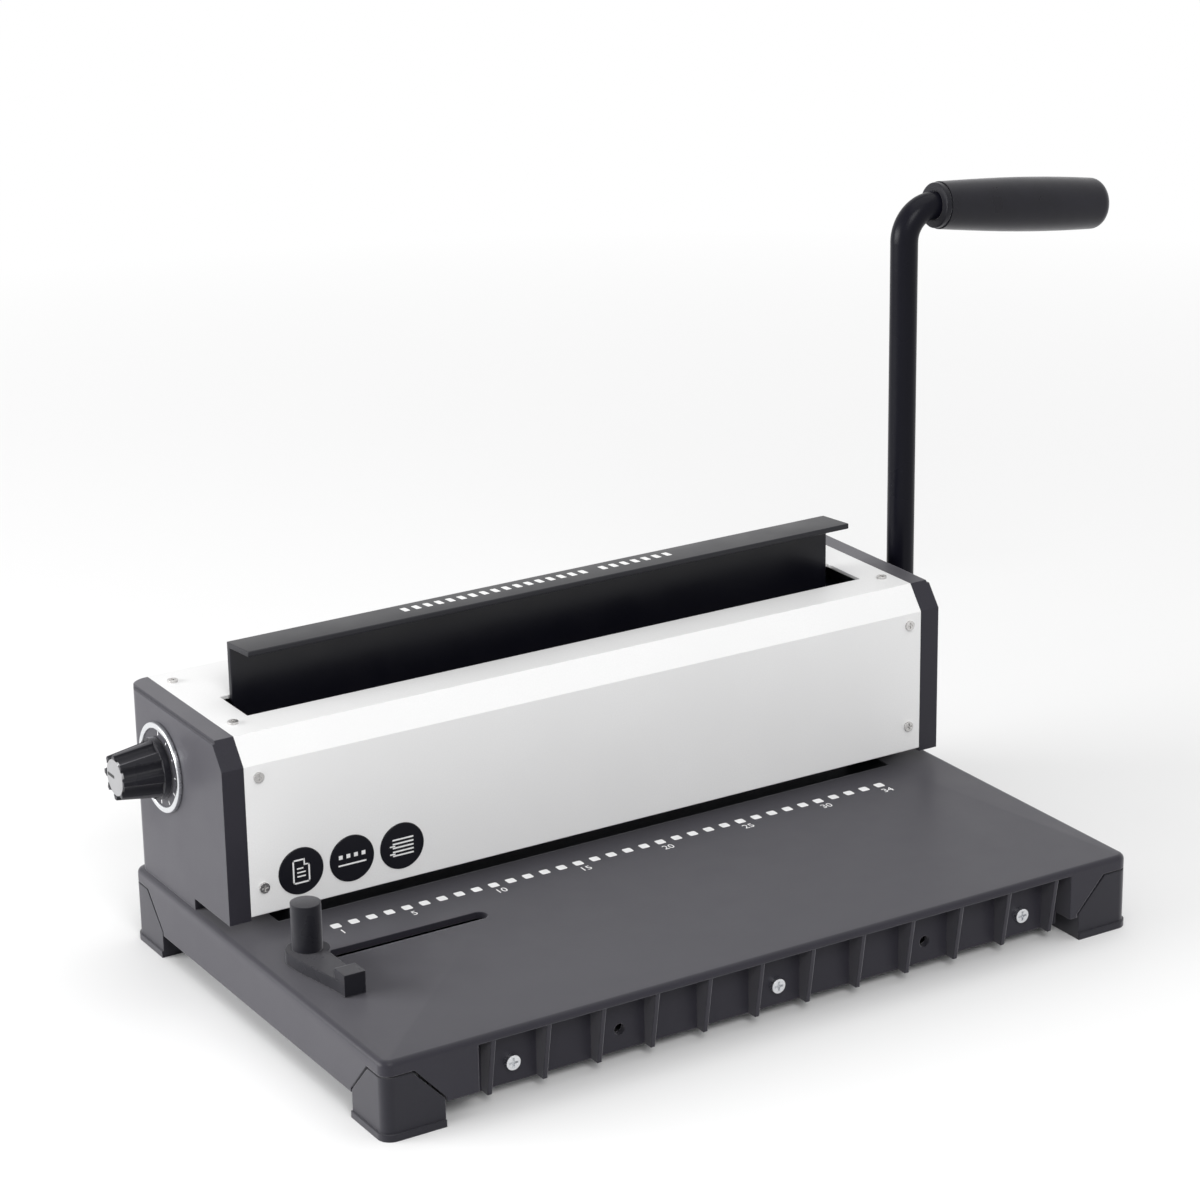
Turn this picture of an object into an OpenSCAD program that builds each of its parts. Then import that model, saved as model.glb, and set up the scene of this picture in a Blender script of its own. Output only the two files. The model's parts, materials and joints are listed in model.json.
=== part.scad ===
// Desk machine that punches a row of square holes and presses wire loops shut.
// Working frame of the modules: X = 0 at the middle of the hole row, Y = 0 at the
// front edge of the base, Z = 0 on the desk. The last lines shift every piece so
// that the origin lies on the desk under the middle of the overall box.

/* [Hole row] */
// Number of punched holes
hole_count = 34; // [24:1:36]
// Distance between neighbouring holes
hole_pitch = 8.467; // [8:0.001:9]
// Side of each square punch
punch_side = 4; // [3:0.1:4.5]
// Clearance of a punch in its plates, per side
punch_clearance = 0.3; // [0.2:0.05:0.4]
// Room between the last hole and the inside of the side plate
end_room = 25.3; // [24:0.1:34]

/* [Base] */
// Height of the deck above the desk
deck_height = 34; // [32:0.1:45]
// Deck from its front edge to the front of the housing
deck_depth = 137.4; // [110:0.5:170]
// Thickness of the deck
deck_t = 3; // [2.5:0.1:4]
// Wall of the skirts
skirt_t = 3; // [2:0.1:4]
// Height of the side skirts' lower edge above the desk
skirt_bottom = 10.6; // [9:0.1:12]
// Height of the front apron's lower edge above the desk
apron_bottom = 5.1; // [4:0.1:8]
// Distance that the apron stops short of each base corner
apron_inset = 37; // [34:0.5:48]
// Shift of the apron, its ribs and its screws to the right
apron_shift = 5.3; // [0:0.1:7]
// Depth of the recess behind the apron ribs
apron_recess = 10; // [6:0.5:12]
// Number of apron ribs
rib_count = 12; // [6:1:12]
// Distance between apron ribs
rib_pitch = 25.4; // [20:0.1:26]
// Thickness of an apron rib
rib_t = 2; // [1.5:0.1:3]
// Radius of the base's upright corners
corner_r = 5; // [5:0.5:14]
// Radius of the deck's upper edge
edge_r = 2.5; // [1.5:0.1:2.9]
// Overhang of the base past the end caps
base_margin = 2; // [0.5:0.1:6]

// Distance from the base's sides to the bosses of the bottom plate
boss_inset = 42; // [38:0.1:50]
// Distance from the front edge of the base to the front bosses
boss_front = 36; // [28:0.5:48]
// Distance from the rear edge of the base to the rear bosses
boss_rear = 24; // [18:0.5:32]
// Length of a bottom screw in its boss
bottom_screw_len = 8; // [5:0.1:9]
// Head of a bottom screw
bottom_screw_d = 6; // [5:0.1:7]
// Head of a bright front screw
front_screw_d = 6.4; // [5:0.1:9]
// Height of the front screws above the bottom plate
front_screw_rise = 2.4; // [2.3:0.1:6]
// Length of a front screw behind the apron
front_screw_len = 4; // [3:0.1:6]

/* [Feet] */
// Width of a foot along each side of the corner
foot_w = 27; // [22:0.5:30]
// Width of a foot at its top
foot_top_w = 13; // [12:0.5:16]
// Height of a foot
foot_h = 27; // [24:0.5:28]
// Height where the slanted flank of a foot starts
foot_flank_z = 12; // [8:0.5:16]
// Groove between a foot and the base
foot_groove = 0.8; // [0.3:0.1:0.9]
// Flare of a foot at the desk
foot_flare = 0.8; // [0.5:0.1:3]
// Height of the flared sole
sole_h = 3; // [2:0.1:4]

/* [Housing] */
// Height of the housing above the deck
housing_h = 85.2; // [76:0.1:95]
// Depth of the housing
housing_d = 92.6; // [90:0.1:110]
// Thickness of the cover sheet
cover_t = 1.5; // [1:0.1:2]
// Depth of the bevel between front and top
bevel_d = 8.4; // [6:0.1:10]
// Height of the bevel
bevel_h = 11.2; // [8:0.1:14]
// Height of the paper throat above the deck
throat_h = 7; // [5:0.1:9]
// Depth of the throat through the end caps
throat_side_d = 34; // [30:0.5:40]
// Thickness of the side plates
side_t = 3; // [2:0.1:4]
// Room between a side plate and the end of the cover
cap_room = 4; // [3.5:0.1:8]
// Depth of an end cap along X
cap_depth = 10; // [8:0.1:14]
// Wall of an end cap
cap_wall = 2.5; // [2:0.1:3]
// Step along the upper edge of a cap's outer face
cap_step = 1.2; // [0.6:0.1:2]
// Radius of a cap's rear corner
cap_corner_r = 9; // [5:0.1:9.5]
// Height of the throat through the end caps
cap_throat_h = 5.2; // [4.6:0.1:6]
// Distance from the housing front to the top slot
slot_setback = 26.6; // [26:0.1:29]
// Depth of the top slot
slot_d = 26.3; // [25:0.1:30]
// Distance from the last hole to the end of the top slot
slot_past_row = 16.9; // [14:0.1:18]

// Distance from the ends of the cover to its screws
cover_screw_inset = 6.5; // [4:0.1:7]
// Distance from the housing front to the front row of top screws
screw_row_front = 22; // [16:0.1:24]
// Distance from the housing rear to the rear row of top screws
screw_row_rear = 11.5; // [9:0.1:20]
// Height of the cover's lower front screws above its fold
screw_rise = 10.5; // [8:0.1:14]
// Distance from the bevel to the cover's upper front screws
screw_drop = 5.5; // [4:0.1:8]
// Depth of the rear cover's flange
rear_flange_d = 8; // [5:0.1:9]
// Head of a cover screw
cover_screw_d = 4.6; // [4:0.1:5.5]
// Diameter of the rear tie bar
tie_d = 10; // [6:0.1:12]
// Distance from the housing rear to the tie bar
tie_setback = 14; // [10:0.1:18]
// Height of the tie bar above the deck
tie_h = 20; // [14:0.1:26]

/* [Punch] */
// Distance from the housing front to the hole row
punch_setback = 16.6; // [15.5:0.1:17.5]
// Distance from the hole row to the paper stop
stop_distance = 4.5; // [3:0.1:6]
// Thickness of the die plate
die_t = 8; // [6:0.1:9]
// Thickness of the punch guide plate
guide_t = 8; // [6:0.1:10]
// Depth of the die and guide plates
plate_d = 25; // [24:0.1:26]
// Height and depth of the punch beam
beam_side = 16; // [14:0.1:18]
// Wire of a return spring
spring_wire = 1.2; // [0.8:0.1:1.6]
// Turns of a return spring
spring_turns = 7; // [5:1:10]
// Diameter of a guide post
post_d = 8; // [6:0.1:9]
// Distance from the last hole to the guide post
post_past_row = 12.3; // [11:0.1:13]

/* [Drive] */
// Distance from the housing front to the main shaft
shaft_setback = 50.6; // [50:0.1:54]
// Swing of the lever
lever_swing = 90; // [60:1:92]
// Teeth of a closing gear
closing_teeth = 12; // [11:1:12]
// Teeth of a punch pinion
punch_teeth = 10; // [10:1:11]
// Width of the gears and racks
gear_w = 6; // [4:0.1:7]
// Distance from the middle to the punch pinions
pinion_x = 100; // [60:1:120]
// Distance from the last hole to the closing gears
gear_past_row = 8.3; // [7.5:0.1:9]
// Running clearance of a shaft in its bush, on the radius
running_clearance = 0.05; // [0.02:0.01:0.09]
// Gap kept between moving pieces
moving_gap = 0.5; // [0.35:0.05:0.6]

/* [Lever] */
// Distance of the lever rod outside the end cap
lever_offset = 15; // [13:0.1:22]
// Diameter of the lever rod
rod_d = 12.8; // [10:0.1:14]
// Height of the rod's upper corner above the desk
rod_top = 284.8; // [220:0.1:340]
// Radius of the rod's bend, on its middle line
rod_bend_r = 15; // [12:0.1:18]
// Droop of the grip below level
grip_droop = 7; // [0:0.5:12]
// Distance along the droop from the rod's corner to the grip
grip_start = 19.5; // [19:0.1:30]
// Length of the grip
grip_len = 94; // [70:0.5:130]
// Diameter of the grip at its inner end
grip_d = 22; // [18:0.1:24]
// Diameter of the grip at its belly
grip_belly_d = 25.5; // [24.5:0.1:32]
// Diameter of the lever hub
hub_d = 28; // [24:0.1:30]

// Length of the lever hub
hub_len = 24; // [20:0.1:26]
// Height of the rod's socket above the main shaft
socket_h = 38; // [30:0.1:50]
// Length of the rod inside the grip
rod_tang = 40; // [30:0.5:60]

/* [Press bar] */
// Thickness of the press bar's sheet
bar_t = 2.5; // [2:0.1:3]
// Depth of the press bar's flange
flange_d = 20.5; // [16:0.1:22]
// Upward tilt of the flange towards the front
flange_tilt = 5; // [0:0.5:8]
// Thickness of the channel floor
floor_t = 3; // [2:0.1:3.5]

/* [Knob] */
// Distance from the housing front to the knob axis
knob_setback = 59; // [58:0.1:61]
// Diameter of the knob shaft
knob_shaft_d = 8; // [6:0.1:9]
// Turn of the knob
knob_turn = 270; // [180:1:290]
// Diameter of the ring round the dial
dial_d = 39.4; // [34:0.1:46]
// Width of the ring round the dial
dial_ring_w = 2.5; // [1.5:0.1:4]
// Diameter of the knob at its base
knob_d = 25; // [20:0.1:28]
// Diameter of the knob at its tip
knob_tip_d = 20; // [16:0.1:24]
// Distance that the knob stands out of the cap
knob_out = 22.5; // [16:0.1:30]
// Number of flutes round the knob
flute_count = 8; // [5:1:12]

/* [Edge guide] */
// Distance from the last hole to the clamp post, at rest
guide_past_row = 25.3; // [22:0.1:27]
// Distance from the housing front to the guide slot
guide_setback = 37.4; // [34:0.1:50]
// Width of the guide slot
guide_slot_w = 7.5; // [5:0.1:8.5]
// Travel of the edge guide
guide_travel = 74; // [40:0.5:90]
// Height of the guide plate
fence_h = 5.5; // [4:0.1:8]
// Height of the block at the end of the fence
block_h = 9.5; // [8:0.1:12]
// Length of the fence in front of the clamp post
fence_len = 40; // [28:0.5:60]
// Diameter of the clamp post
clamp_d = 12.8; // [10:0.1:15]
// Height of the clamp post above the guide plate
clamp_h = 20.5; // [12:0.1:24]

/* [Chip tray] */
// Wall of the chip tray
tray_wall = 1.6; // [1.2:0.1:2.4]
// Width of the chip tray
tray_w = 42; // [34:0.5:60]
// Width of the chip tray's pull
pull_w = 24; // [16:0.5:36]
// Depth of the chip tray's pull
pull_d = 4; // [3:0.1:6]
// Thickness of the bottom plate
bottom_t = 1.5; // [1:0.1:2]

/* [Hidden] */
$fn = 64;
eps = 0.01;

// Hole row and the chain of widths that follows from it
row_half = (hole_count - 1) * hole_pitch / 2;
side_in = row_half + end_room;
side_out = side_in + side_t;
cover_half = side_out + cap_room;
cap_out = cover_half + cap_depth;
base_half = cap_out + base_margin;
slot_half = row_half + slot_past_row;
bar_half = slot_half - 3.6;
post_x = row_half + post_past_row;
gear_x = row_half + gear_past_row;
die_half = row_half + 18;

// Depths, counted from the front edge of the base
house_y = deck_depth;
rear_y = house_y + housing_d;
punch_y = house_y + punch_setback;
plate_front = punch_y - plate_d / 2;
plate_rear = punch_y + plate_d / 2;
shaft_y = house_y + shaft_setback;
knob_y = house_y + knob_setback;
slot_front = house_y + slot_setback;
slot_rear = slot_front + slot_d;
bar_rear = slot_rear - 1.8;
bar_front = bar_rear - bar_t;
beam_front = punch_y - beam_side / 2;
beam_rear = punch_y + beam_side / 2;

// The drive grows with the height of the housing, so it is counted in gear modules
tooth_module = housing_h / 42.6;
shaft_h = 15 * tooth_module;
shaft_d = 6 * tooth_module;
spring_len = 14.25 * tooth_module;
floor_lift = 4.5 * tooth_module;
knob_h = 28.5 * tooth_module;
bar_h = housing_h + 12.4 * tooth_module;

// Heights, counted from the desk
house_top = deck_height + housing_h;
cover_in = house_top - cover_t;
plate_z = deck_height + throat_h + 0.5;
plate_top = plate_z + guide_t;
beam_z = plate_top + spring_len;
punch_tip = plate_z + 1.3;
shaft_z = deck_height + shaft_h;
knob_z = deck_height + knob_h;
bar_top = deck_height + bar_h;
bottom_z = skirt_bottom;
tray_z = bottom_z + bottom_t + 0.3;
trough_t = 3;
die_seat = deck_height - die_t - trough_t;
die_screw_head = 0.8;
tray_h = die_seat - die_screw_head - moving_gap - tray_z;

// Gears and strokes
pressure_angle = 25;
addendum = 0.8 * tooth_module;
dedendum = 1.25 * tooth_module;
backlash = 0.5;
closing_r = tooth_module * closing_teeth / 2;
punch_r = tooth_module * punch_teeth / 2;
closing_stroke = closing_r * lever_swing * PI / 180;
punch_stroke = punch_r * lever_swing * PI / 180;
rack_margin = tooth_module * 3;
rack_back = 5.5;

// Channel floor and its cams, from the top down
floor_high = cover_in - moving_gap;
floor_z = floor_high - floor_lift - floor_t;
limb_top = floor_z - moving_gap;
limb_z = shaft_z + closing_r + addendum + closing_stroke + moving_gap;
follower_drop = 5;
cam_gap = 0.3;
cam_rate = floor_lift / knob_turn;
cam_r = floor_z - follower_drop - cam_gap - knob_z;
cam_x = side_in - 5;
cam_w = 5;

// Places outside the housing
rod_x = cap_out + lever_offset;
clamp_x = -(row_half + guide_past_row);
guide_y = house_y - guide_setback;
slot_end_x = clamp_x + guide_travel + 6.5;
knob_tip = -(cap_out + knob_out);
grip_end_r = 5;
grip_body = grip_len - grip_end_r;

// Half-width of the grip at a distance from its inner end
function grip_r(s) =
    grip_d / 2 + (grip_belly_d - grip_d) / 2 * sin(150 * s / grip_len);

// Farthest point of the grip's round end along X
grip_reach = rod_x + (grip_start + grip_body) * cos(grip_droop)
    + (grip_r(grip_body) - grip_end_r) * sin(grip_droop) + grip_end_r;

// Shift that puts the origin under the middle of the overall box
origin_shift = [-(knob_tip + grip_reach) / 2, -rear_y / 2, 0];

base_colour = "#58585c";
dark_colour = "#2a2a2d";
white_colour = "#ededee";
steel_colour = "#b4b7bb";
black_colour = "#17181a";

// Shapes that several pieces share

// Bar along X between two X values
module along_x(x0, x1, r, y, z) {
    translate([min(x0, x1), y, z])
        rotate([0, 90, 0])
            cylinder(h = abs(x1 - x0), r = r);
}

// Outline drawn in the Y-Z plane, extruded from x0 to x1
module side_profile(x0, x1) {
    translate([min(x0, x1), 0, 0])
        rotate([90, 0, 90])
            linear_extrude(height = abs(x1 - x0))
                children();
}

// Outline drawn in the X-Z plane, extruded from y0 to y1
module front_profile(y0, y1) {
    translate([0, y1, 0])
        rotate([90, 0, 0])
            linear_extrude(height = y1 - y0)
                children();
}

module box(low, high) {
    translate(low)
        cube(high - low);
}

// Same shape on the left (-1) or the right (+1)
module on_side(side) {
    mirror([side < 0 ? 1 : 0, 0, 0])
        children();
}

module rounded_rect(w, d, r) {
    union() {
        translate([r, 0])
            square([w - 2 * r, d]);
        translate([0, r])
            square([w, d - 2 * r]);
        for (x = [r, w - r], y = [r, d - r])
            translate([x, y])
                circle(r);
    }
}

// Section through a slab's edge: the upper outer corner is round
module edge_section(length, height, r) {
    union() {
        square([length, height - r]);
        square([length - r, height]);
        translate([length - r, height - r])
            circle(r);
    }
}

// Slab with round upright corners and a round upper edge
module soft_slab(w, d, h, rc, re) {
    inset = rc - eps;
    translate([inset, inset, 0])
        cube([w - 2 * inset, d - 2 * inset, h]);
    for (turn = [0, 180])
        translate([w / 2, d / 2, 0])
            rotate([0, 0, turn]) {
                translate([w / 2 - rc, d / 2 - rc, 0])
                    rotate([90, 0, 0])
                        linear_extrude(height = d - 2 * rc)
                            edge_section(rc, h, re);
                translate([-(w / 2 - rc), d / 2 - rc, 0])
                    rotate([90, 0, 90])
                        linear_extrude(height = w - 2 * rc)
                            edge_section(rc, h, re);
                translate([w / 2 - rc, d / 2 - rc, 0])
                    rotate_extrude(angle = 90)
                        edge_section(rc, h, re);
                translate([-(w / 2 - rc), d / 2 - rc, 0])
                    rotate([0, 0, 90])
                        rotate_extrude(angle = 90)
                            edge_section(rc, h, re);
            }
}

// Screw with a round head: the shank points along -Z from the seat at z = 0
module screw(head_d, head_h, shank_d, shank_l) {
    difference() {
        union() {
            cylinder(h = head_h, d = head_d);
            translate([0, 0, -shank_l])
                cylinder(h = shank_l + eps, d = shank_d);
        }
        for (turn = [0, 90])
            rotate([0, 0, turn])
                translate([-head_d * 0.32, -head_d * 0.07, head_h * 0.45])
                    cube([head_d * 0.64, head_d * 0.14, head_h]);
    }
}

// Involute gear teeth

function inv_angle(a) = tan(a) * 180 / PI - a;
function flank_angle(r, rb, half) = half - (r > rb ? inv_angle(acos(rb / r)) : 0);
function polar(r, a) = [r * cos(a), r * sin(a)];

// One side of a tooth, from root to tip; side is +1 or -1
function flank(teeth, side, steps = 5) =
    let (
        r = tooth_module * teeth / 2,
        rb = r * cos(pressure_angle),
        root = r - dedendum,
        tip = r + addendum,
        half = 90 / teeth - backlash / 2 / r * 180 / PI + inv_angle(pressure_angle),
        low = max(root, rb)
    )
    concat(
        [polar(root, side * half)],
        [for (i = [0 : steps])
            let (rr = low + (tip - low) * i / steps)
                polar(rr, side * flank_angle(rr, rb, half))]
    );

function turned(p, a) = [p[0] * cos(a) - p[1] * sin(a), p[0] * sin(a) + p[1] * cos(a)];
function reversed(list) = [for (i = [len(list) - 1 : -1 : 0]) list[i]];

function gear_outline(teeth) = [
    for (i = [0 : teeth - 1], p = concat(flank(teeth, -1), reversed(flank(teeth, 1))))
        turned(p, i * 360 / teeth)
];

// Gear on the main shaft, one tooth pointing to the front
module shaft_gear(teeth, x) {
    side_profile(x - gear_w / 2, x + gear_w / 2)
        translate([shaft_y, shaft_z])
            difference() {
                rotate(180)
                    polygon(gear_outline(teeth));
                circle(d = shaft_d + 2 * running_clearance);
            }
}

// Rack teeth on a vertical line, pointing to the rear, with a gap at height zero
module rack_outline(low, high) {
    pitch = PI * tooth_module;
    half = pitch / 4 - backlash / 2;
    slope = tan(pressure_angle);
    first = ceil((low + half + addendum) / pitch - 0.5);
    last = floor((high - half - addendum) / pitch - 0.5);
    union() {
        translate([-dedendum - rack_back, low])
            square([rack_back, high - low]);
        for (i = [first : last])
            translate([0, (i + 0.5) * pitch])
                polygon([
                    [-dedendum - eps, -half - dedendum * slope],
                    [addendum, -half + addendum * slope],
                    [addendum, half - addendum * slope],
                    [-dedendum - eps, half + dedendum * slope]
                ]);
    }
}

// Coil spring as one unbroken tube of six-sided rings

coil_rings = 8;
coil_sides = 6;
coil_r = post_d / 2 + 0.6 + spring_wire / 2;
coil_rise = spring_len - spring_wire - 0.2;

function coil_centre(i) =
    let (t = i / (spring_turns * coil_rings), a = i * 360 / coil_rings)
        [coil_r * cos(a), coil_r * sin(a), spring_wire / 2 + 0.1 + coil_rise * t];

function coil_ring(i) =
    let (c = coil_centre(i), a = i * 360 / coil_rings)
        [for (k = [0 : coil_sides - 1])
            let (b = k * 360 / coil_sides, w = spring_wire / 2)
                c + [w * cos(b) * cos(a), w * cos(b) * sin(a), w * sin(b)]];

coil_last = spring_turns * coil_rings;
coil_steps = [for (i = [0 : coil_last - coil_rings]) norm(coil_centre(i + coil_rings) - coil_centre(i))];
coil_gap = min(coil_steps) - spring_wire;
echo(least_coil_gap = coil_gap);

module coil_tube() {
    points = [for (i = [0 : coil_last], p = coil_ring(i)) p];
    walls = [
        for (i = [0 : coil_last - 1], k = [0 : coil_sides - 1])
            let (
                a = i * coil_sides + k,
                b = i * coil_sides + (k + 1) % coil_sides,
                c = a + coil_sides,
                d = b + coil_sides
            )
            each [[a, c, b], [b, c, d]]
    ];
    start = [for (k = [1 : coil_sides - 2]) [0, k, k + 1]];
    end_first = coil_last * coil_sides;
    end = [for (k = [1 : coil_sides - 2]) [end_first, end_first + k + 1, end_first + k]];
    polyhedron(points = points, faces = concat(walls, start, end));
}

// Base

// Foot at the corner where x = 0 and y = 0, reaching to +x and +y; grow widens it for the groove
module corner_foot(grow) {
    w = foot_w + grow;
    top_w = foot_top_w + grow;
    h = foot_h + grow;
    flank = [
        [-foot_flare - 1, 0], [w, 0], [w, foot_flank_z + grow / 2],
        [top_w, h], [-foot_flare - 1, h]
    ];
    intersection() {
        front_profile(-foot_flare - 1, w)
            polygon(flank);
        side_profile(-foot_flare - 1, w)
            polygon(flank);
        union() {
            linear_extrude(height = h)
                rounded_rect(2 * base_half, rear_y, corner_r);
            translate([-foot_flare, -foot_flare, 0])
                linear_extrude(height = sole_h)
                    rounded_rect(2 * base_half, rear_y, corner_r + foot_flare);
        }
    }
}

// Foot placed at a corner: side_x and side_y are -1 or +1
module placed_foot(side_x, side_y, grow) {
    translate([0, rear_y / 2, 0])
        mirror([side_x > 0 ? 1 : 0, 0, 0])
            mirror([0, side_y > 0 ? 1 : 0, 0])
                translate([-base_half, -rear_y / 2, 0])
                    corner_foot(grow);
}

tray_y0 = punch_y - tray_w / 2 + 8;
tray_y1 = tray_y0 + tray_w;
apron_half = base_half - apron_inset;
boss_x = base_half - boss_inset;
boss_ys = [boss_front, rear_y - boss_rear];
boss_r = 5;
seat_z = bottom_z + bottom_t;
corner_fill = 2.6;
bay_z = seat_z + front_screw_rise;
rib_low_y = apron_recess / 2;

// Rib that stands out farther under the deck than at its foot
module apron_rib() {
    side_profile(-rib_t / 2, rib_t / 2)
        polygon([
            [rib_low_y, apron_bottom],
            [apron_recess + 0.1, apron_bottom],
            [apron_recess + 0.1, deck_height - deck_t + 0.5],
            [edge_r + 0.1, deck_height - deck_t + 0.5],
            [0.6, deck_height - deck_t]
        ]);
}

module base_shell() {
    wall = skirt_t;
    color(base_colour)
        difference() {
            union() {
                difference() {
                    translate([-base_half, 0, skirt_bottom])
                        soft_slab(2 * base_half, rear_y, deck_height - skirt_bottom, corner_r, edge_r);
                    box([-base_half + wall, apron_recess + wall, 0],
                        [base_half - wall, rear_y - wall, deck_height - deck_t]);
                    // Recess behind the ribs of the front apron
                    box([apron_shift - apron_half, -1, 0],
                        [apron_shift + apron_half, apron_recess, deck_height - deck_t]);
                }
                // Lower lip of the apron and its ribs
                box(
                    [apron_shift - apron_half, apron_recess, apron_bottom],
                    [apron_shift + apron_half, apron_recess + wall, skirt_bottom + eps]);
                for (i = [0 : rib_count - 1])
                    translate([apron_shift + (i - (rib_count - 1) / 2) * rib_pitch, 0, 0])
                        apron_rib();
                // Corner blocks above the feet
                for (sx = [-1, 1], y = [corner_fill, rear_y - corner_fill - 14])
                    on_side(sx)
                        box(
                            [base_half - corner_fill - 14, y, foot_h - 1],
                            [base_half - corner_fill, y + 14, deck_height - deck_t + 0.5]);
                // Trough that carries the die plate
                box([-die_half - 4, plate_front - 3, die_seat],
                    [die_half + 4, plate_rear + 3, deck_height - deck_t + eps]);
                // Bosses that carry the bottom plate
                for (x = [-boss_x, boss_x], y = boss_ys)
                    translate([x, y, seat_z])
                        cylinder(h = deck_height - deck_t - seat_z + eps, r = boss_r);
            }
            // Die plate pocket and the chip opening under it
            box([-die_half, plate_front, deck_height - die_t], [die_half, plate_rear, deck_height + 1]);
            box([-die_half + 6, plate_front + 4, 0], [die_half - 6, plate_rear - 4, deck_height]);
            // Slot for the edge guide
            box([clamp_x - guide_slot_w / 2, guide_y - guide_slot_w / 2, deck_height - deck_t - 1],
                [slot_end_x, guide_y + guide_slot_w / 2, deck_height + 1]);
            translate([slot_end_x, guide_y, deck_height - deck_t - 1])
                cylinder(h = deck_t + 2, d = guide_slot_w);
            // Way out for the chip tray through the right skirt
            box([base_half - wall - 1, tray_y0 - moving_gap, 0],
                [base_half + 1, tray_y1 + moving_gap, tray_z + tray_h + moving_gap]);
            // Grooves round the feet
            for (sx = [-1, 1], sy = [-1, 1])
                placed_foot(sx, sy, foot_groove);
            // Holes for the bright screws and the two open holes between ribs
            for (bay = [-5, -3, 0, 3, 5])
                translate([apron_shift + bay * rib_pitch, apron_recess - 1, bay_z])
                    rotate([-90, 0, 0])
                        cylinder(h = wall + 2, d = abs(bay) == 3 ? 5 : front_screw_d / 2 + 0.2);
            // Holes for the bottom screws
            for (x = [-boss_x, boss_x], y = boss_ys)
                translate([x, y, 0])
                    cylinder(h = seat_z + 10, d = 3);
            // Holes for the die screws
            for (x = die_screw_xs, y = die_screw_ys)
                translate([x, y, 0])
                    cylinder(h = deck_height, d = 4);
        }
}

module corner_foot_piece(sx, sy) {
    color(dark_colour)
        placed_foot(sx, sy, 0);
}

module bottom_plate() {
    edge = skirt_t + 0.5;
    color(steel_colour)
        difference() {
            box([-base_half + edge, apron_recess + skirt_t + 0.5, bottom_z],
                [base_half - edge - 1, rear_y - edge, seat_z]);
            for (sx = [-1, 1], sy = [-1, 1])
                placed_foot(sx, sy, foot_groove);
            for (x = [-boss_x, boss_x], y = boss_ys)
                translate([x, y, 0])
                    cylinder(h = deck_height, d = 3.4);
        }
}

module bottom_screws() {
    color(steel_colour)
        for (x = [-boss_x, boss_x], y = boss_ys)
            translate([x, y, bottom_z])
                mirror([0, 0, 1])
                    screw(bottom_screw_d, bottom_screw_d / 3, bottom_screw_d / 2, bottom_t + bottom_screw_len);
}

module front_screws() {
    color("#d9dadc")
        for (bay = [-5, 0, 5])
            translate([apron_shift + bay * rib_pitch, apron_recess, bay_z])
                rotate([90, 0, 0])
                    screw(front_screw_d, front_screw_d * 0.37, front_screw_d / 2, skirt_t + front_screw_len);
}

// Housing

// Outline of the housing seen from the side, drawn in Y and Z
module house_outline(inset) {
    polygon([
        [house_y + inset, deck_height + cap_throat_h],
        [house_y + inset, house_top - bevel_h - inset * 0.35],
        [house_y + bevel_d + inset * 0.45, house_top - inset],
        [rear_y - inset, house_top - inset],
        [rear_y - inset, deck_height],
        [house_y + throat_side_d, deck_height],
        [house_y + throat_side_d, deck_height + cap_throat_h]
    ]);
}

// Upright prism over a cap's plan, whose rear outer corner is round
module cap_plan(inset) {
    r = cap_corner_r - inset;
    translate([0, 0, deck_height - 1])
        linear_extrude(height = housing_h + 2)
            translate([0, house_y - r])
                rounded_rect(cap_out - inset, housing_d + r - inset, r);
}

tongue_y0 = slot_front + 6;
tongue_y1 = tongue_y0 + 10;
flange_w = 13;
return_top = deck_height + throat_h + cover_t;

module side_plate(side) {
    color(steel_colour)
        on_side(side)
            difference() {
                union() {
                    side_profile(side_in, side_out)
                        polygon([
                            [plate_front, plate_z],
                            [plate_front, return_top + 0.5],
                            [house_y + cover_t + 0.5, return_top + 0.5],
                            [house_y + cover_t + 0.5, house_top - bevel_h - 2],
                            [house_y + bevel_d + 2, cover_in - 1.7],
                            [rear_y - cover_t - 0.5, cover_in - 1.7],
                            [rear_y - cover_t - 0.5, deck_height],
                            [house_y + throat_side_d + 1, deck_height],
                            [house_y + throat_side_d + 1, plate_z]
                        ]);
                    // Foot flange turned inward along the deck
                    box(
                        [side_in - flange_w, shaft_y + 4, deck_height],
                        [side_in + eps, rear_y - 6, deck_height + 3]);
                }
                // Bore of the shaft bush
                along_x(side_in - 1, side_out + 1, shaft_d / 2 + 2, shaft_y, shaft_z);
                // Bore of the knob shaft
                along_x(side_in - 1, side_out + 1, knob_shaft_d / 2 + running_clearance, knob_y, knob_z);
                // Upright slot that guides the channel floor
                box(
                    [side_in - 1, tongue_y0 - 0.3, floor_z - moving_gap],
                    [side_out + 1, tongue_y1 + 0.3, house_top]);
            }
}

tie_y = rear_y - tie_setback;
tie_z = deck_height + tie_h;

module rear_tie_bar() {
    color(steel_colour)
        along_x(-side_in, side_in, tie_d / 2, tie_y, tie_z);
}

module shaft_bush(side) {
    color("#b08d57")
        on_side(side)
            difference() {
                union() {
                    along_x(side_in, side_out, shaft_d / 2 + 2, shaft_y, shaft_z);
                    along_x(side_out, side_out + 1.5, shaft_d / 2 + 4, shaft_y, shaft_z);
                }
                along_x(side_in - 1, side_out + 3, shaft_d / 2 + running_clearance, shaft_y, shaft_z);
            }
}

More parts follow.
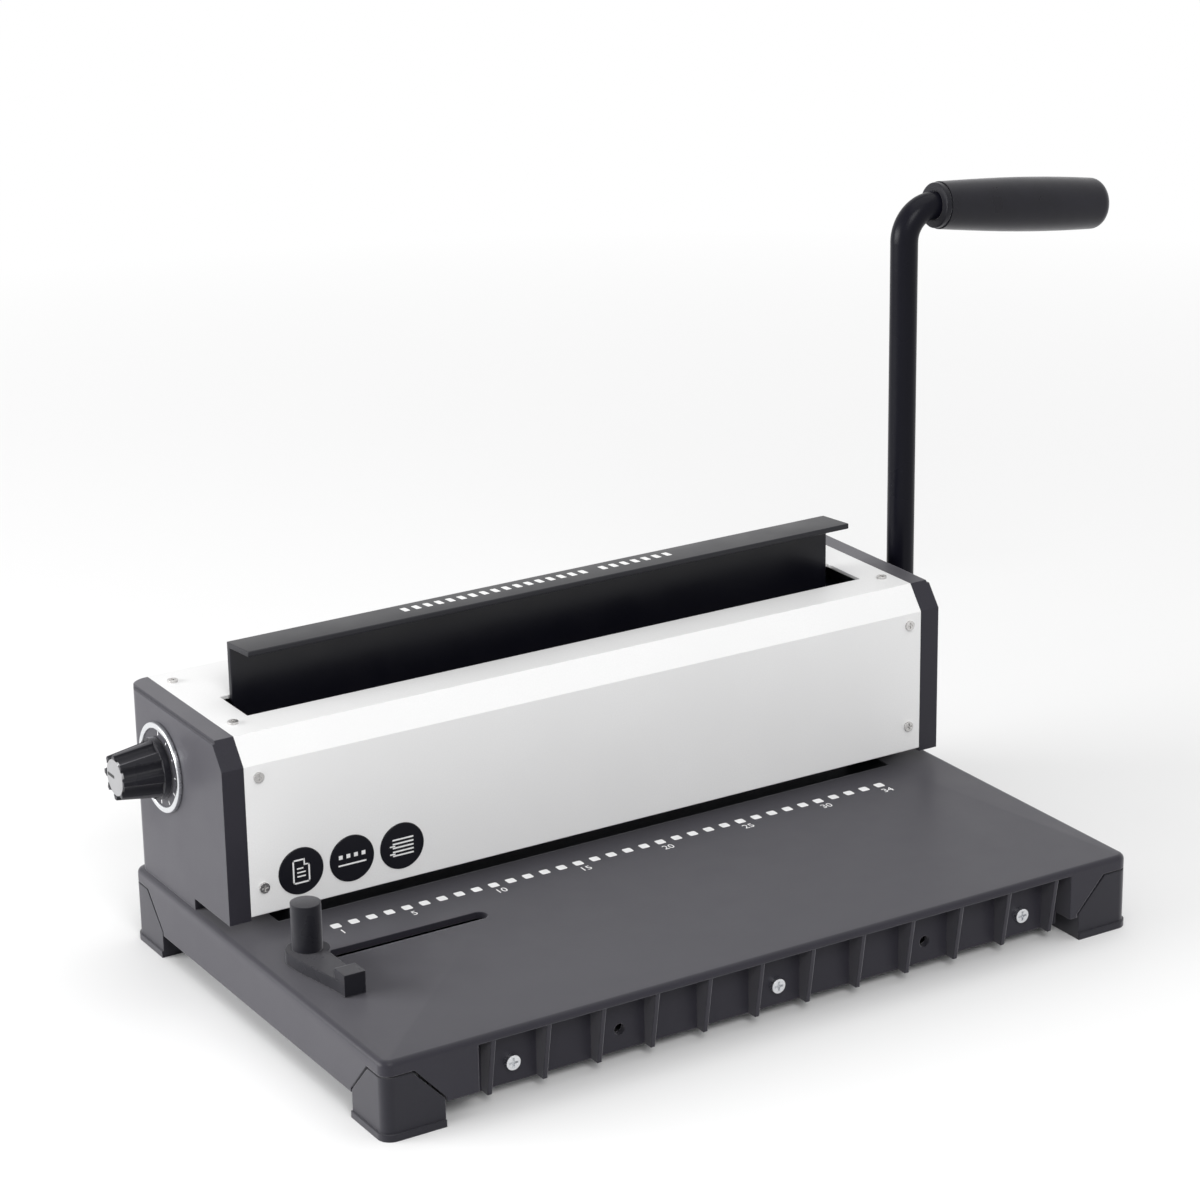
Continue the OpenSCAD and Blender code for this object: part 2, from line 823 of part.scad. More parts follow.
// Folded sheet: front with a return at the throat, bevel and top
module top_cover() {
    color(white_colour)
        difference() {
            side_profile(-cover_half, cover_half)
                difference() {
                    polygon([
                        [house_y, deck_height + throat_h],
                        [house_y, house_top - bevel_h],
                        [house_y + bevel_d, house_top],
                        [rear_y, house_top],
                        [rear_y, cover_in],
                        [rear_y, deck_height + throat_h]
                    ]);
                    polygon([
                        [house_y + cover_t, deck_height + throat_h + cover_t],
                        [house_y + cover_t, house_top - bevel_h - cover_t * 0.35],
                        [house_y + bevel_d + cover_t * 0.45, cover_in],
                        [rear_y + 1, cover_in],
                        [rear_y + 1, deck_height + throat_h - 1],
                        [house_y + cover_t + 2.5, deck_height + throat_h - 1],
                        [house_y + cover_t + 2.5, deck_height + throat_h + cover_t]
                    ]);
                }
            box([-slot_half, slot_front, cover_in - 1], [slot_half, slot_rear, house_top + 1]);
            for (place = cover_screw_tops)
                translate([place[0], place[1], cover_in - 1])
                    cylinder(h = 4, d = 2.6);
            for (place = cover_screw_fronts)
                translate([place[0], house_y - 1, place[1]])
                    rotate([-90, 0, 0])
                        cylinder(h = 4, d = 2.6);
        }
}

module rear_cover() {
    color(white_colour)
        union() {
            box([-cover_half, rear_y - cover_t, deck_height], [cover_half, rear_y, cover_in]);
            // Flange turned inward under the top
            box(
                [-side_in + 1, rear_y - rear_flange_d, cover_in - cover_t],
                [side_in - 1, rear_y - cover_t + eps, cover_in]);
        }
}

cover_screw_x = cover_half - cover_screw_inset;
screw_row_ys = [house_y + screw_row_front, rear_y - screw_row_rear];
screw_row_zs = [return_top + screw_rise, house_top - bevel_h - screw_drop];
cover_screw_tops = [for (sx = [-1, 1], y = screw_row_ys) [sx * cover_screw_x, y]];
cover_screw_fronts = [for (sx = [-1, 1], z = screw_row_zs) [sx * cover_screw_x, z]];

module cover_screws() {
    color("#9b9da0") {
        for (place = cover_screw_tops)
            translate([place[0], place[1], house_top])
                screw(cover_screw_d, 1, cover_screw_d * 0.54, cover_t + 0.3);
        for (place = cover_screw_fronts)
            translate([place[0], house_y, place[1]])
                rotate([90, 0, 0])
                    screw(cover_screw_d, 1, cover_screw_d * 0.54, cover_t + 0.3);
    }
}

// Moulded cap: a hollow shell open towards the middle, with a step along its upper edge
module end_cap(side) {
    wall = cap_wall + cap_step;
    color(base_colour)
        on_side(side)
            difference() {
                intersection() {
                    side_profile(cover_half, cap_out)
                        house_outline(0);
                    cap_plan(0);
                }
                box(
                    [cap_out - cap_step, house_y, house_top - cap_step],
                    [cap_out + 1, rear_y + 1, house_top + 1]);
                intersection() {
                    side_profile(cover_half - 1, cap_out - wall)
                        difference() {
                            house_outline(cap_wall);
                            square([house_y + throat_side_d, deck_height + cap_throat_h] + [cap_wall, cap_wall]);
                        }
                    cap_plan(wall);
                }
                if (side > 0)
                    along_x(cover_half, cap_out + 1, shaft_d / 2 + 2, shaft_y, shaft_z);
                else
                    along_x(cover_half, cap_out + 1, knob_shaft_d / 2 + 1, knob_y, knob_z);
            }
}

// Die, guide and punches

die_screw_xs = [-die_half + 3.2, die_half - 3.2];
die_screw_ys = [plate_front + 2, plate_rear - 2];

module hole_row(side_length, z0, z1) {
    for (i = [0 : hole_count - 1])
        translate([i * hole_pitch - row_half - side_length / 2, punch_y - side_length / 2, z0])
            cube([side_length, side_length, z1 - z0]);
}

module die_plate() {
    color(steel_colour)
        difference() {
            box([-die_half, plate_front, deck_height - die_t], [die_half, plate_rear, deck_height]);
            hole_row(punch_side + 2 * punch_clearance, deck_height - die_t - 1, deck_height + 1);
        }
}

module die_screws() {
    color(steel_colour)
        for (x = die_screw_xs, y = die_screw_ys)
            translate([x, y, die_seat])
                mirror([0, 0, 1])
                    screw(3.6, die_screw_head, 3, trough_t);
}

module guide_plate() {
    color(steel_colour)
        difference() {
            box([-side_in, plate_front, plate_z], [side_in, plate_rear, plate_top]);
            hole_row(punch_side + 2 * punch_clearance, plate_z - 1, plate_top + 1);
        }
}

module paper_stop() {
    y0 = punch_y + stop_distance;
    color(steel_colour)
        box([-row_half - 6, y0, deck_height + 0.3], [row_half + 6, y0 + 3, plate_z]);
}

module guide_post(side) {
    color(steel_colour)
        on_side(side)
            translate([post_x, punch_y, plate_top])
                cylinder(h = spring_len + beam_side + 10, d = post_d);
}

// Block in front of a closing rack that keeps it in mesh
module rack_guide(side) {
    rack_front = shaft_y - closing_r - dedendum - rack_back;
    half = gear_w / 2 + 0.3;
    color(dark_colour)
        on_side(side)
            difference() {
                box(
                    [gear_x - half - 4, beam_rear + 0.7, plate_top],
                    [gear_x + half + 4, rack_front + 2.5, plate_top + 16]);
                box(
                    [gear_x - half, rack_front - 0.3, plate_top - 1],
                    [gear_x + half, rack_front + 4, plate_top + 20]);
                box(
                    [gear_x - half - 5, plate_rear, plate_top - 1],
                    [gear_x + half + 5, rack_front + 4, plate_top - eps]);
            }
}

module punch_beam() {
    color("#6f7378")
        difference() {
            box([-post_x - 6, beam_front, beam_z], [post_x + 6, beam_rear, beam_z + beam_side]);
            hole_row(punch_side + 0.1, beam_z - 1, beam_z + beam_side * 0.6);
            for (x = [-post_x, post_x])
                translate([x, punch_y, beam_z - 1])
                    cylinder(h = beam_side + 2, d = post_d + 2 * running_clearance);
        }
}

module punches() {
    color("#d0d3d6")
        hole_row(punch_side, punch_tip, beam_z + beam_side * 0.6);
}

// Rack that carries the punch beam down: a lug on the beam and a toothed limb
module punch_rack(side) {
    line_y = shaft_y - punch_r;
    low = shaft_z - rack_margin;
    high = shaft_z + punch_stroke + rack_margin;
    lug_z = max(plate_top + punch_stroke + moving_gap, beam_z);
    lug_top = min(high, beam_z + beam_side);
    color(steel_colour)
        side_profile(side * pinion_x - gear_w / 2, side * pinion_x + gear_w / 2)
            union() {
                translate([line_y, shaft_z])
                    rack_outline(low - shaft_z, high - shaft_z);
                translate([beam_rear, lug_z])
                    square([line_y - dedendum - beam_rear, lug_top - lug_z]);
            }
}

module return_spring(side) {
    color(steel_colour)
        translate([side * post_x, punch_y, plate_top])
            coil_tube();
}

// Main shaft and lever

module main_shaft() {
    color(steel_colour)
        along_x(-side_out - 6.5, rod_x + hub_len / 2 - 0.5, shaft_d / 2, shaft_y, shaft_z);
}

module shaft_collar() {
    color(steel_colour)
        difference() {
            along_x(-side_out - 2, -side_out - 6, shaft_d / 2 + 3, shaft_y, shaft_z);
            along_x(-side_out, -side_out - 8, shaft_d / 2 + running_clearance, shaft_y, shaft_z);
        }
}

module closing_gear(side) {
    color(steel_colour)
        shaft_gear(closing_teeth, side * gear_x);
}

module punch_pinion(side) {
    color(steel_colour)
        shaft_gear(punch_teeth, side * pinion_x);
}

socket_top = shaft_z + socket_h;
rod_low = shaft_z + shaft_d / 2 + 3;

module lever_hub() {
    color(black_colour)
        difference() {
            union() {
                along_x(rod_x - hub_len / 2, rod_x + hub_len / 2, hub_d / 2, shaft_y, shaft_z);
                translate([rod_x, shaft_y, shaft_z])
                    cylinder(h = socket_top - shaft_z, d = rod_d + 8);
            }
            along_x(rod_x - hub_len, rod_x + hub_len, shaft_d / 2 + running_clearance, shaft_y, shaft_z);
            translate([rod_x, shaft_y, rod_low])
                cylinder(h = socket_h, d = rod_d + 2 * running_clearance);
            translate([rod_x, shaft_y - hub_d, shaft_z])
                rotate([-90, 0, 0])
                    cylinder(h = hub_d, d = 5);
        }
}

module hub_screw() {
    color(steel_colour)
        translate([rod_x, shaft_y - hub_d / 2 + 0.4, shaft_z])
            rotate([-90, 0, 0])
                difference() {
                    cylinder(h = hub_d / 2 - shaft_d / 2 - 0.5, d = 4.9);
                    translate([0, 0, -eps])
                        cylinder(h = 2, d = 2.5, $fn = 6);
                }
}

// Straight rod, bend and drooping end, drawn round the middle of the bend
module lever_rod() {
    bend = 90 + grip_droop;
    setback = rod_bend_r * tan(bend / 2);
    // The bend swells a little, and the straight ends sink into it
    swell = 0.06;
    sink = 0.4;
    color(black_colour)
        translate([rod_x + rod_bend_r, shaft_y, rod_top - setback])
            rotate([90, 0, 0])
                mirror([1, 0, 0])
                    union() {
                        translate([rod_bend_r, sink, 0])
                            rotate([90, 0, 0])
                                cylinder(h = rod_top - setback - rod_low + sink, d = rod_d);
                        rotate_extrude(angle = bend)
                            translate([rod_bend_r, 0])
                                circle(d = rod_d + swell);
                        rotate([0, 0, bend])
                            translate([rod_bend_r, -sink, 0])
                                rotate([-90, 0, 0])
                                    cylinder(h = grip_start + rod_tang - setback + sink, d = rod_d);
                    }
}

// Frame at the rod's corner with +Z along the grip
module grip_frame() {
    translate([rod_x, shaft_y, rod_top])
        rotate([0, 90 + grip_droop, 0])
            children();
}

module lever_grip() {
    steps = 10;
    body = grip_body;
    end_r = grip_r(body);
    cap_steps = 8;
    outline = concat(
        [[0, 0]],
        [for (i = [0 : steps]) [grip_r(body * i / steps), body * i / steps]],
        [for (i = [1 : cap_steps])
            let (turn = 90 * i / cap_steps)
                [end_r - grip_end_r + grip_end_r * cos(turn), body + grip_end_r * sin(turn)]],
        [[0, grip_len]]
    );
    color(dark_colour)
        grip_frame()
            difference() {
                translate([0, 0, grip_start])
                    rotate_extrude()
                        polygon(outline);
                cylinder(h = grip_start + rod_tang + 1, d = rod_d + 2 * running_clearance);
            }
}

module grip_collar() {
    color(black_colour)
        grip_frame()
            translate([0, 0, grip_start - 3])
                difference() {
                    cylinder(h = 3, d = grip_d - 1);
                    translate([0, 0, -1])
                        cylinder(h = 5, d = rod_d + 2 * running_clearance);
                }
}

// Press bar and channel floor

module press_bar() {
    reach = flange_d - bar_t;
    lift = reach * tan(flange_tilt);
    color(black_colour)
        side_profile(-bar_half, bar_half)
            polygon([
                [bar_rear, limb_z],
                [bar_rear, bar_top],
                [bar_rear - flange_d, bar_top + lift],
                [bar_rear - flange_d, bar_top + lift - bar_t],
                [bar_front, bar_top - bar_t],
                [bar_front, limb_z]
            ]);
}

// Rack that carries the press bar down: it reaches forward over the gear, then down
module closing_rack(side) {
    line_y = shaft_y - closing_r;
    low = shaft_z - rack_margin;
    color(steel_colour)
        side_profile(side * gear_x - gear_w / 2, side * gear_x + gear_w / 2)
            union() {
                translate([line_y, shaft_z])
                    rack_outline(low - shaft_z, limb_top - shaft_z);
                translate([line_y - dedendum - eps, limb_z])
                    square([bar_front - line_y + dedendum + eps, limb_top - limb_z]);
            }
}

module press_bar_screws() {
    color(steel_colour)
        for (sx = [-1, 1])
            translate([sx * gear_x, bar_rear, (limb_z + limb_top) / 2])
                rotate([-90, 0, 0])
                    cylinder(h = 2, d = 5);
}

module channel_floor() {
    front = slot_front + 0.6;
    rear = bar_front - moving_gap;
    ear_x0 = side_in - 9;
    ear_x1 = side_in - 0.6;
    color(dark_colour)
        union() {
            box([-ear_x1, front, floor_z], [ear_x1, rear, floor_z + floor_t]);
            for (side = [-1, 1])
                on_side(side) {
                    box([ear_x0, rear - eps, floor_z], [ear_x1, knob_y + 8, floor_z + floor_t]);
                    box(
                        [ear_x0, knob_y - 8, floor_z - follower_drop],
                        [ear_x1, knob_y + 8, floor_z + eps]);
                    box(
                        [ear_x1 - eps, tongue_y0, floor_z],
                        [side_out - 0.5, tongue_y1, floor_z + floor_t]);
                }
        }
}

// Knob, its shaft and the spiral cams

module knob_shaft() {
    color(steel_colour)
        along_x(knob_tip + 6, side_out + 1.5, knob_shaft_d / 2, knob_y, knob_z);
}

// The radius under the follower grows with the turn of the knob
module cam(side) {
    steps = 48;
    sweep = knob_turn + 30;
    outline = [
        for (i = [0 : steps])
            let (a = -15 + sweep * i / steps, r = cam_r + cam_rate * max(0, min(a, knob_turn)))
                [r * sin(a), r * cos(a)]
    ];
    color("#3b3c40")
        side_profile(side * cam_x - cam_w / 2, side * cam_x + cam_w / 2)
            translate([knob_y, knob_z])
                difference() {
                    polygon(outline);
                    circle(d = knob_shaft_d + 2 * running_clearance);
                }
}

dial_t = 1.5;
dial_in_r = dial_d / 2 - dial_ring_w;
knob_gap = 0.6;

module dial_plate() {
    color(base_colour)
        difference() {
            along_x(-cap_out, -cap_out - dial_t, dial_in_r - running_clearance, knob_y, knob_z);
            along_x(-cap_out + 1, -cap_out - 5, knob_shaft_d / 2 + 1, knob_y, knob_z);
        }
}

module dial_ring() {
    color(white_colour)
        difference() {
            along_x(-cap_out, -cap_out - dial_t - 0.8, dial_d / 2, knob_y, knob_z);
            along_x(-cap_out + 1, -cap_out - 5, dial_in_r, knob_y, knob_z);
        }
}

knob_base = -cap_out - dial_t - knob_gap;
knob_disc_d = knob_tip_d - 4;
knob_disc_t = 1.2;

// Tapered knob with flutes that follow the taper
module adjust_knob() {
    flange = 3;
    body = knob_base - flange - knob_tip;
    taper = atan((knob_d - knob_tip_d) / 2 / body);
    flute_r = knob_d * 0.14;
    flute_out = knob_d / 2 + flute_r * 0.4;
    color(dark_colour)
        difference() {
            union() {
                along_x(knob_base, knob_base - flange, knob_d / 2 + 1, knob_y, knob_z);
                translate([knob_base - flange + eps, knob_y, knob_z])
                    rotate([0, -90, 0])
                        cylinder(h = body + eps, d1 = knob_d, d2 = knob_tip_d);
            }
            for (i = [0 : flute_count - 1])
                translate([knob_base - flange, knob_y, knob_z])
                    rotate([(i + 0.5) * 360 / flute_count, 0, 0])
                        translate([0, 0, flute_out])
                            rotate([0, -90 - taper, 0])
                                cylinder(h = body * 1.1, r = flute_r);
            along_x(knob_base + 1, knob_tip + 5, knob_shaft_d / 2 + running_clearance, knob_y, knob_z);
            along_x(knob_tip + knob_disc_t, knob_tip - 1, knob_disc_d / 2 + 0.3, knob_y, knob_z);
        }
}

// Bright disc let into the end of the knob
module knob_disc() {
    color("#c9cacd")
        along_x(knob_tip + knob_disc_t, knob_tip + 0.2, knob_disc_d / 2, knob_y, knob_z);
}

// Edge guide

fence_x = clamp_x + 5.8;
fence_w = 9.5;
block_len = 9;
guide_boss_r = 9.2;
fence_gap = 0.3;

// Fence plate: straight right edge for the paper, S-shaped left edge, tall block at its end
module edge_guide() {
    steps = 12;
    left_x = clamp_x - guide_boss_r;
    tip_x = fence_x - fence_w;
    tip_y = guide_y - fence_len;
    s_edge = [
        for (i = [0 : steps])
            let (t = i / steps, s = 3 * t * t - 2 * t * t * t)
                [left_x + (tip_x - left_x) * s, guide_y - fence_len * t]
    ];
    color(base_colour)
        translate([0, 0, deck_height + fence_gap])
            difference() {
                union() {
                    linear_extrude(height = fence_h)
                        union() {
                            polygon(concat(s_edge, [[fence_x, tip_y], [fence_x, guide_y]]));
                            translate([clamp_x, guide_y])
                                circle(r = guide_boss_r);
                        }
                    translate([tip_x, tip_y, 0])
                        cube([fence_w, block_len, block_h]);
                    // Key in the deck slot
                    translate([clamp_x - 2.3, guide_y - guide_slot_w / 2 + 0.3, -deck_t - fence_gap])
                        cube([7, guide_slot_w - 0.6, deck_t + fence_gap + eps]);
                }
                translate([clamp_x, guide_y, -deck_t - 1])
                    cylinder(h = deck_t + fence_h + 2, d = 4);
            }
}

module clamp_post() {
    z0 = deck_height + fence_gap + fence_h;
    color(base_colour)
        union() {
            translate([clamp_x, guide_y, z0])
                cylinder(h = clamp_h, d = clamp_d);
            translate([clamp_x, guide_y, deck_height - deck_t - 4])
                cylinder(h = z0 - deck_height + deck_t + 4 + eps, d = 3.8);
        }
}

module guide_keeper() {
    color(steel_colour)
        difference() {
            box(
                [clamp_x - 6, guide_y - 6, deck_height - deck_t - 2.3],
                [clamp_x + 6, guide_y + 6, deck_height - deck_t - 0.3]);
            translate([clamp_x, guide_y, 0])
                cylinder(h = deck_height, d = 4);
        }
}

// Chip tray: open box with a front panel that closes the right skirt
module chip_tray() {
    x0 = -die_half - 4;
    x1 = base_half;
    color(dark_colour)
        union() {
            difference() {
                box([x0, tray_y0, tray_z], [x1, tray_y1, tray_z + tray_h]);
                box([x0 + tray_wall, tray_y0 + tray_wall, tray_z + tray_wall],
                    [x1 - skirt_t, tray_y1 - tray_wall, tray_z + tray_h + 1]);
            }
            box([x1 - skirt_t, tray_y0, skirt_bottom], [x1, tray_y1, tray_z + eps]);
            box(
                [x1 - eps, (tray_y0 + tray_y1 - pull_w) / 2, tray_z],
                [x1 + pull_d, (tray_y0 + tray_y1 + pull_w) / 2, tray_z + pull_d / 2]);
        }
}

module at_origin() {
    translate(origin_shift)
        children();
}

at_origin() base_shell();
at_origin() bottom_plate();
at_origin() bottom_screws();
at_origin() front_screws();
at_origin() corner_foot_piece(-1, -1);  // foot_front_left
at_origin() corner_foot_piece(1, -1);  // foot_front_right
at_origin() corner_foot_piece(-1, 1);  // foot_rear_left
at_origin() corner_foot_piece(1, 1);  // foot_rear_right
at_origin() side_plate(-1);  // side_plate_left
at_origin() side_plate(1);  // side_plate_right
at_origin() rear_tie_bar();
at_origin() die_plate();
at_origin() die_screws();
at_origin() guide_plate();
at_origin() paper_stop();
at_origin() guide_post(-1);  // guide_post_left
at_origin() guide_post(1);  // guide_post_right
at_origin() rack_guide(-1);  // rack_guide_left
at_origin() rack_guide(1);  // rack_guide_right
at_origin() shaft_bush(-1);  // shaft_bush_left
at_origin() shaft_bush(1);  // shaft_bush_right
at_origin() top_cover();
at_origin() rear_cover();
at_origin() end_cap(-1);  // end_cap_left
at_origin() end_cap(1);  // end_cap_right
at_origin() cover_screws();
at_origin() dial_plate();
at_origin() dial_ring();
at_origin() main_shaft();
at_origin() shaft_collar();
at_origin() lever_hub();
at_origin() hub_screw();
at_origin() lever_rod();
at_origin() lever_grip();
at_origin() grip_collar();
at_origin() closing_gear(-1);  // closing_gear_left
at_origin() closing_gear(1);  // closing_gear_right
at_origin() punch_pinion(-1);  // punch_pinion_left
at_origin() punch_pinion(1);  // punch_pinion_right
at_origin() punch_beam();
at_origin() punches();
at_origin() punch_rack(-1);  // punch_rack_left
at_origin() punch_rack(1);  // punch_rack_right
at_origin() return_spring(-1);  // return_spring_left
at_origin() return_spring(1);  // return_spring_right
at_origin() press_bar();
at_origin() closing_rack(-1);  // closing_rack_left
at_origin() closing_rack(1);  // closing_rack_right
at_origin() press_bar_screws();
at_origin() channel_floor();
at_origin() adjust_knob();
at_origin() knob_disc();
at_origin() knob_shaft();
at_origin() cam(-1);  // cam_left
at_origin() cam(1);  // cam_right
at_origin() edge_guide();
at_origin() clamp_post();
at_origin() guide_keeper();
at_origin() chip_tray();
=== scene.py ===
"""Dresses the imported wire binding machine: finishes, prints, badges, springs, light and camera."""

import json
import math

import bmesh
import bpy
from mathutils import Matrix, Vector


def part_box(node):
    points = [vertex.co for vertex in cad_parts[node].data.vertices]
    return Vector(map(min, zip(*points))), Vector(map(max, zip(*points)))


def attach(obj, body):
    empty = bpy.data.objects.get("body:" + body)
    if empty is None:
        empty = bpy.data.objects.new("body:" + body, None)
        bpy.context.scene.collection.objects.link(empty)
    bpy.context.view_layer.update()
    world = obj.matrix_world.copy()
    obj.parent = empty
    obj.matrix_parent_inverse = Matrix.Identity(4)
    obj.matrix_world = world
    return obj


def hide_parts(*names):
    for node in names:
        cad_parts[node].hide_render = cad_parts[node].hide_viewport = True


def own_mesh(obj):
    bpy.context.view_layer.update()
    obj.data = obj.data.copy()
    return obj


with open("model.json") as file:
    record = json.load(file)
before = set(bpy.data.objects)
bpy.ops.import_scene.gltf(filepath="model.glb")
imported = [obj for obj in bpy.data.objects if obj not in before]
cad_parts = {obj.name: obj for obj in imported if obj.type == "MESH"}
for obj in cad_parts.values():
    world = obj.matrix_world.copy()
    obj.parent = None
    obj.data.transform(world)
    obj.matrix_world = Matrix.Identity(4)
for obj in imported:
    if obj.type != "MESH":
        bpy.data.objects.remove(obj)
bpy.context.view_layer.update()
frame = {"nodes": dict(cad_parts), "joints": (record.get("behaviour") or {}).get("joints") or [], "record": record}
nodes = frame["nodes"]
MM = 0.001

# Camera of the photo, fitted to the row of deck marks; X counts from the middle of the row
CAMERA_PLACE = (-0.740, -1.2019, 0.6486)
CAMERA_AZIMUTH = 31.16
CAMERA_ELEVATION = 19.31
CAMERA_ROLL = -0.96
CAMERA_REACH = 50.0
SENSOR = 36.0
LENS = 105.6

# Floor and surroundings; the floor runs out into white between two distances from its middle
FLOOR_HALF_WIDTH = 20.0
FLOOR_CLOUD = 0.8
FLOOR_DARK = (0.84, 0.84, 0.84)
FLOOR_PALE = (0.88, 0.88, 0.88)
FLOOR_ROUGHNESS = 0.7
RUNOUT_START = 0.4
RUNOUT_END = 1.3
WORLD_LIGHT = 0.5
BACKGROUND_WHITE = 1.0

# Strength of the mirror shine on plastic and paint, and of the soft sheen on plastic
SATIN_GLOSS = 0.34
GRIP_GLOSS = 0.24
MATT_GLOSS = 0.16
DEEP_GLOSS = 0.12
LEVER_GLOSS = 0.10
MATT_SHEEN = 0.36
DEEP_SHEEN = 0.28
GRIP_SHEEN = 0.2
PLASTIC_SHEEN_SPREAD = 0.45
GRIP_SHEEN_SPREAD = 0.4
SHEEN_TINT = (0.96, 0.95, 1.0, 1.0)

# Colours as linear light
GRAPHITE = (0.018, 0.017, 0.0235)
FOOT_GREY = (0.013, 0.0125, 0.0175)
COAT_BLACK = (0.0045, 0.0045, 0.008)
PLASTIC_BLACK = (0.007, 0.007, 0.010)
GRIP_BLACK = (0.006, 0.0057, 0.0095)
COVER_WHITE = (0.82, 0.82, 0.82)
INK_WHITE = (0.88, 0.88, 0.88)
INK_BLACK = (0.01, 0.01, 0.01)
SATIN_ALUMINIUM = (0.42, 0.42, 0.43)
NICKEL = (0.62, 0.61, 0.60)
BRONZE = (0.43, 0.27, 0.11)
ZINC = (0.75, 0.76, 0.78)
STEEL = (0.46, 0.47, 0.49)
# Blackened steel for the die plate, made this dark also as painted shade in the paper slot under the cover
BLACK_OXIDE_AND_SLOT_SHADE = (0.03, 0.03, 0.034)

# Width of the spots, lines and soft edges in the finishes, and depth of their relief
PLASTIC_CLOUD = 35 * MM
PLASTIC_SMUDGE = 18 * MM
# Patches where plastic edges are painted paler, partly as wear and partly as a painted highlight
PLASTIC_RUB_AND_HIGHLIGHT = 6 * MM
PLASTIC_GRAIN = 0.45 * MM
PLASTIC_GRAIN_DEPTH = 0.035 * MM
PLASTIC_EDGE = 0.7 * MM
COAT_CLOUD = 60 * MM
COAT_SMUDGE = 25 * MM
# Patches where coat edges are painted paler, partly as wear and partly as a painted highlight
COAT_WEAR_AND_HIGHLIGHT = 9 * MM
COAT_PEEL = 0.8 * MM
COAT_PEEL_DEPTH = 0.02 * MM
COAT_EDGE = 0.5 * MM
METAL_STAIN = 15 * MM
METAL_LINE = 0.25 * MM
METAL_LINE_DEPTH = 0.008 * MM
METAL_EDGE = 0.2 * MM
GRIP_SMEAR = 14 * MM
GRIP_GRAIN = 0.3 * MM
GRIP_GRAIN_DEPTH = 0.015 * MM
GRIP_EDGE = 0.4 * MM
INK_CLOUD = 5 * MM
INK_PINHOLE = 0.25 * MM
INK_PINHOLE_DEPTH = 0.006 * MM

# Stretch of the metals' noise along each axis
LINES_ALONG_X = (30.0, 1.0, 1.0)
NO_LINES = (1.0, 1.0, 1.0)

# Low and high value of the noise that a finish spreads out
MIDDLE = (0.35, 0.65)
WIDE = (0.3, 0.7)

# Likeness of the rounded and the true normal on a face and on an edge, and samples of the rounded one
FACE_LIKENESS = 0.995
EDGE_LIKENESS = 0.86
EDGE_SAMPLES = 4

# Prints on the deck, the flange, the dial and the knob
PRINT_THICKNESS = 0.06 * MM
MARK_SIDE = 4.2 * MM
MARK_TO_HOUSING = 13.4 * MM
NUMBER_EVERY = 5
NUMBER_SIZE = 5.6 * MM
NUMBER_DROP = 6.8 * MM
FLANGE_DASH = (2.7 * MM, 5.6 * MM)
FLANGE_PITCH = 5.6 * MM
FLANGE_PRINT_BACK = 0.6
FLANGE_EDGE_REACH = 0.1 * MM
DIAL_TICKS = 10
DIAL_SWEEP = 270.0
TICK_SIZE = (0.5 * MM, 1.8 * MM)
TICK_INSET = 1.6 * MM
POINTER_SIZE = (1.4 * MM, 6.5 * MM)
POINTER_START = 0.5 * MM

# Groups of dashes on the flange: start, from the middle of the row, and count
FLANGE_PRINTS = ((-72 * MM, 17), (28 * MM, 7))

# Badges on the cover; the first one's X counts from the middle of the row, their height from the deck
BADGE_DIAMETER = 21.0 * MM
BADGE_THICKNESS = 0.4 * MM
BADGE_STRAIGHT_RIM = 0.24 * MM
BADGE_CHAMFER = 0.25 * MM
BADGE_STEPS = 72
BADGE_PITCH = 24.0 * MM
BADGE_FIRST = -148.2 * MM
BADGE_HEIGHT = 22.4 * MM

# Pictures on the badges, from the badge's middle
STROKE = 0.7 * MM
FINE_STROKE = 0.6 * MM
SHEET_SIZE = (8.0 * MM, 11.0 * MM)
SHEET_FOLD = 2.5 * MM
TEXT_LEFT = -2.0 * MM
FIRST_LINE_LOW = 1.0 * MM
TEXT_ENDS = (1.0 * MM, 2.0 * MM, 2.0 * MM)
PICTURE_PITCH = 1.8 * MM
HOLE_SIDE = 1.8 * MM
HOLE_LOW = 0.6 * MM
HOLE_COUNT = 4
PAPER_EDGE = (6.6 * MM, -2.6 * MM)
STACK_LEFT = -4.6 * MM
STACK_RIGHT = 5.4 * MM
STACK_LOW = -4.2 * MM
STACK_SHEETS = 5
LOOP_LEFT = -6.0 * MM
LOOP_RIGHT = -3.4 * MM
LOOP_RISE = 0.9 * MM

# Edges that are rounded further than on the solids, with their radius
ROUNDED_EDGES = {
    "clamp_post": 1.2 * MM,
    "press_bar": 0.5 * MM,
    "grip_collar": 0.6 * MM,
    "dial_ring": 0.5 * MM,
}
ROUNDING_STEPS = 4

# Angles in degrees above which an edge is rounded or stays sharp
ROUNDED_ABOVE = 40.0
SHARP_ABOVE = 28.0
PRINT_SHARP_ABOVE = 30.0
SPRING_SHARP_ABOVE = 60.0

# Distances within which two corners count as one
WELD_REACH = 0.001 * MM
SAME_POINT = 0.002 * MM

# Return springs
SPRING_WIRE = 1.2 * MM
SPRING_TURNS = 7

# Share of the wire in each nearly flat end, and share of the rise that is even over the whole wire
SPRING_END_SHARE = 0.07
SPRING_EVEN_RISE = 0.06


# Node materials

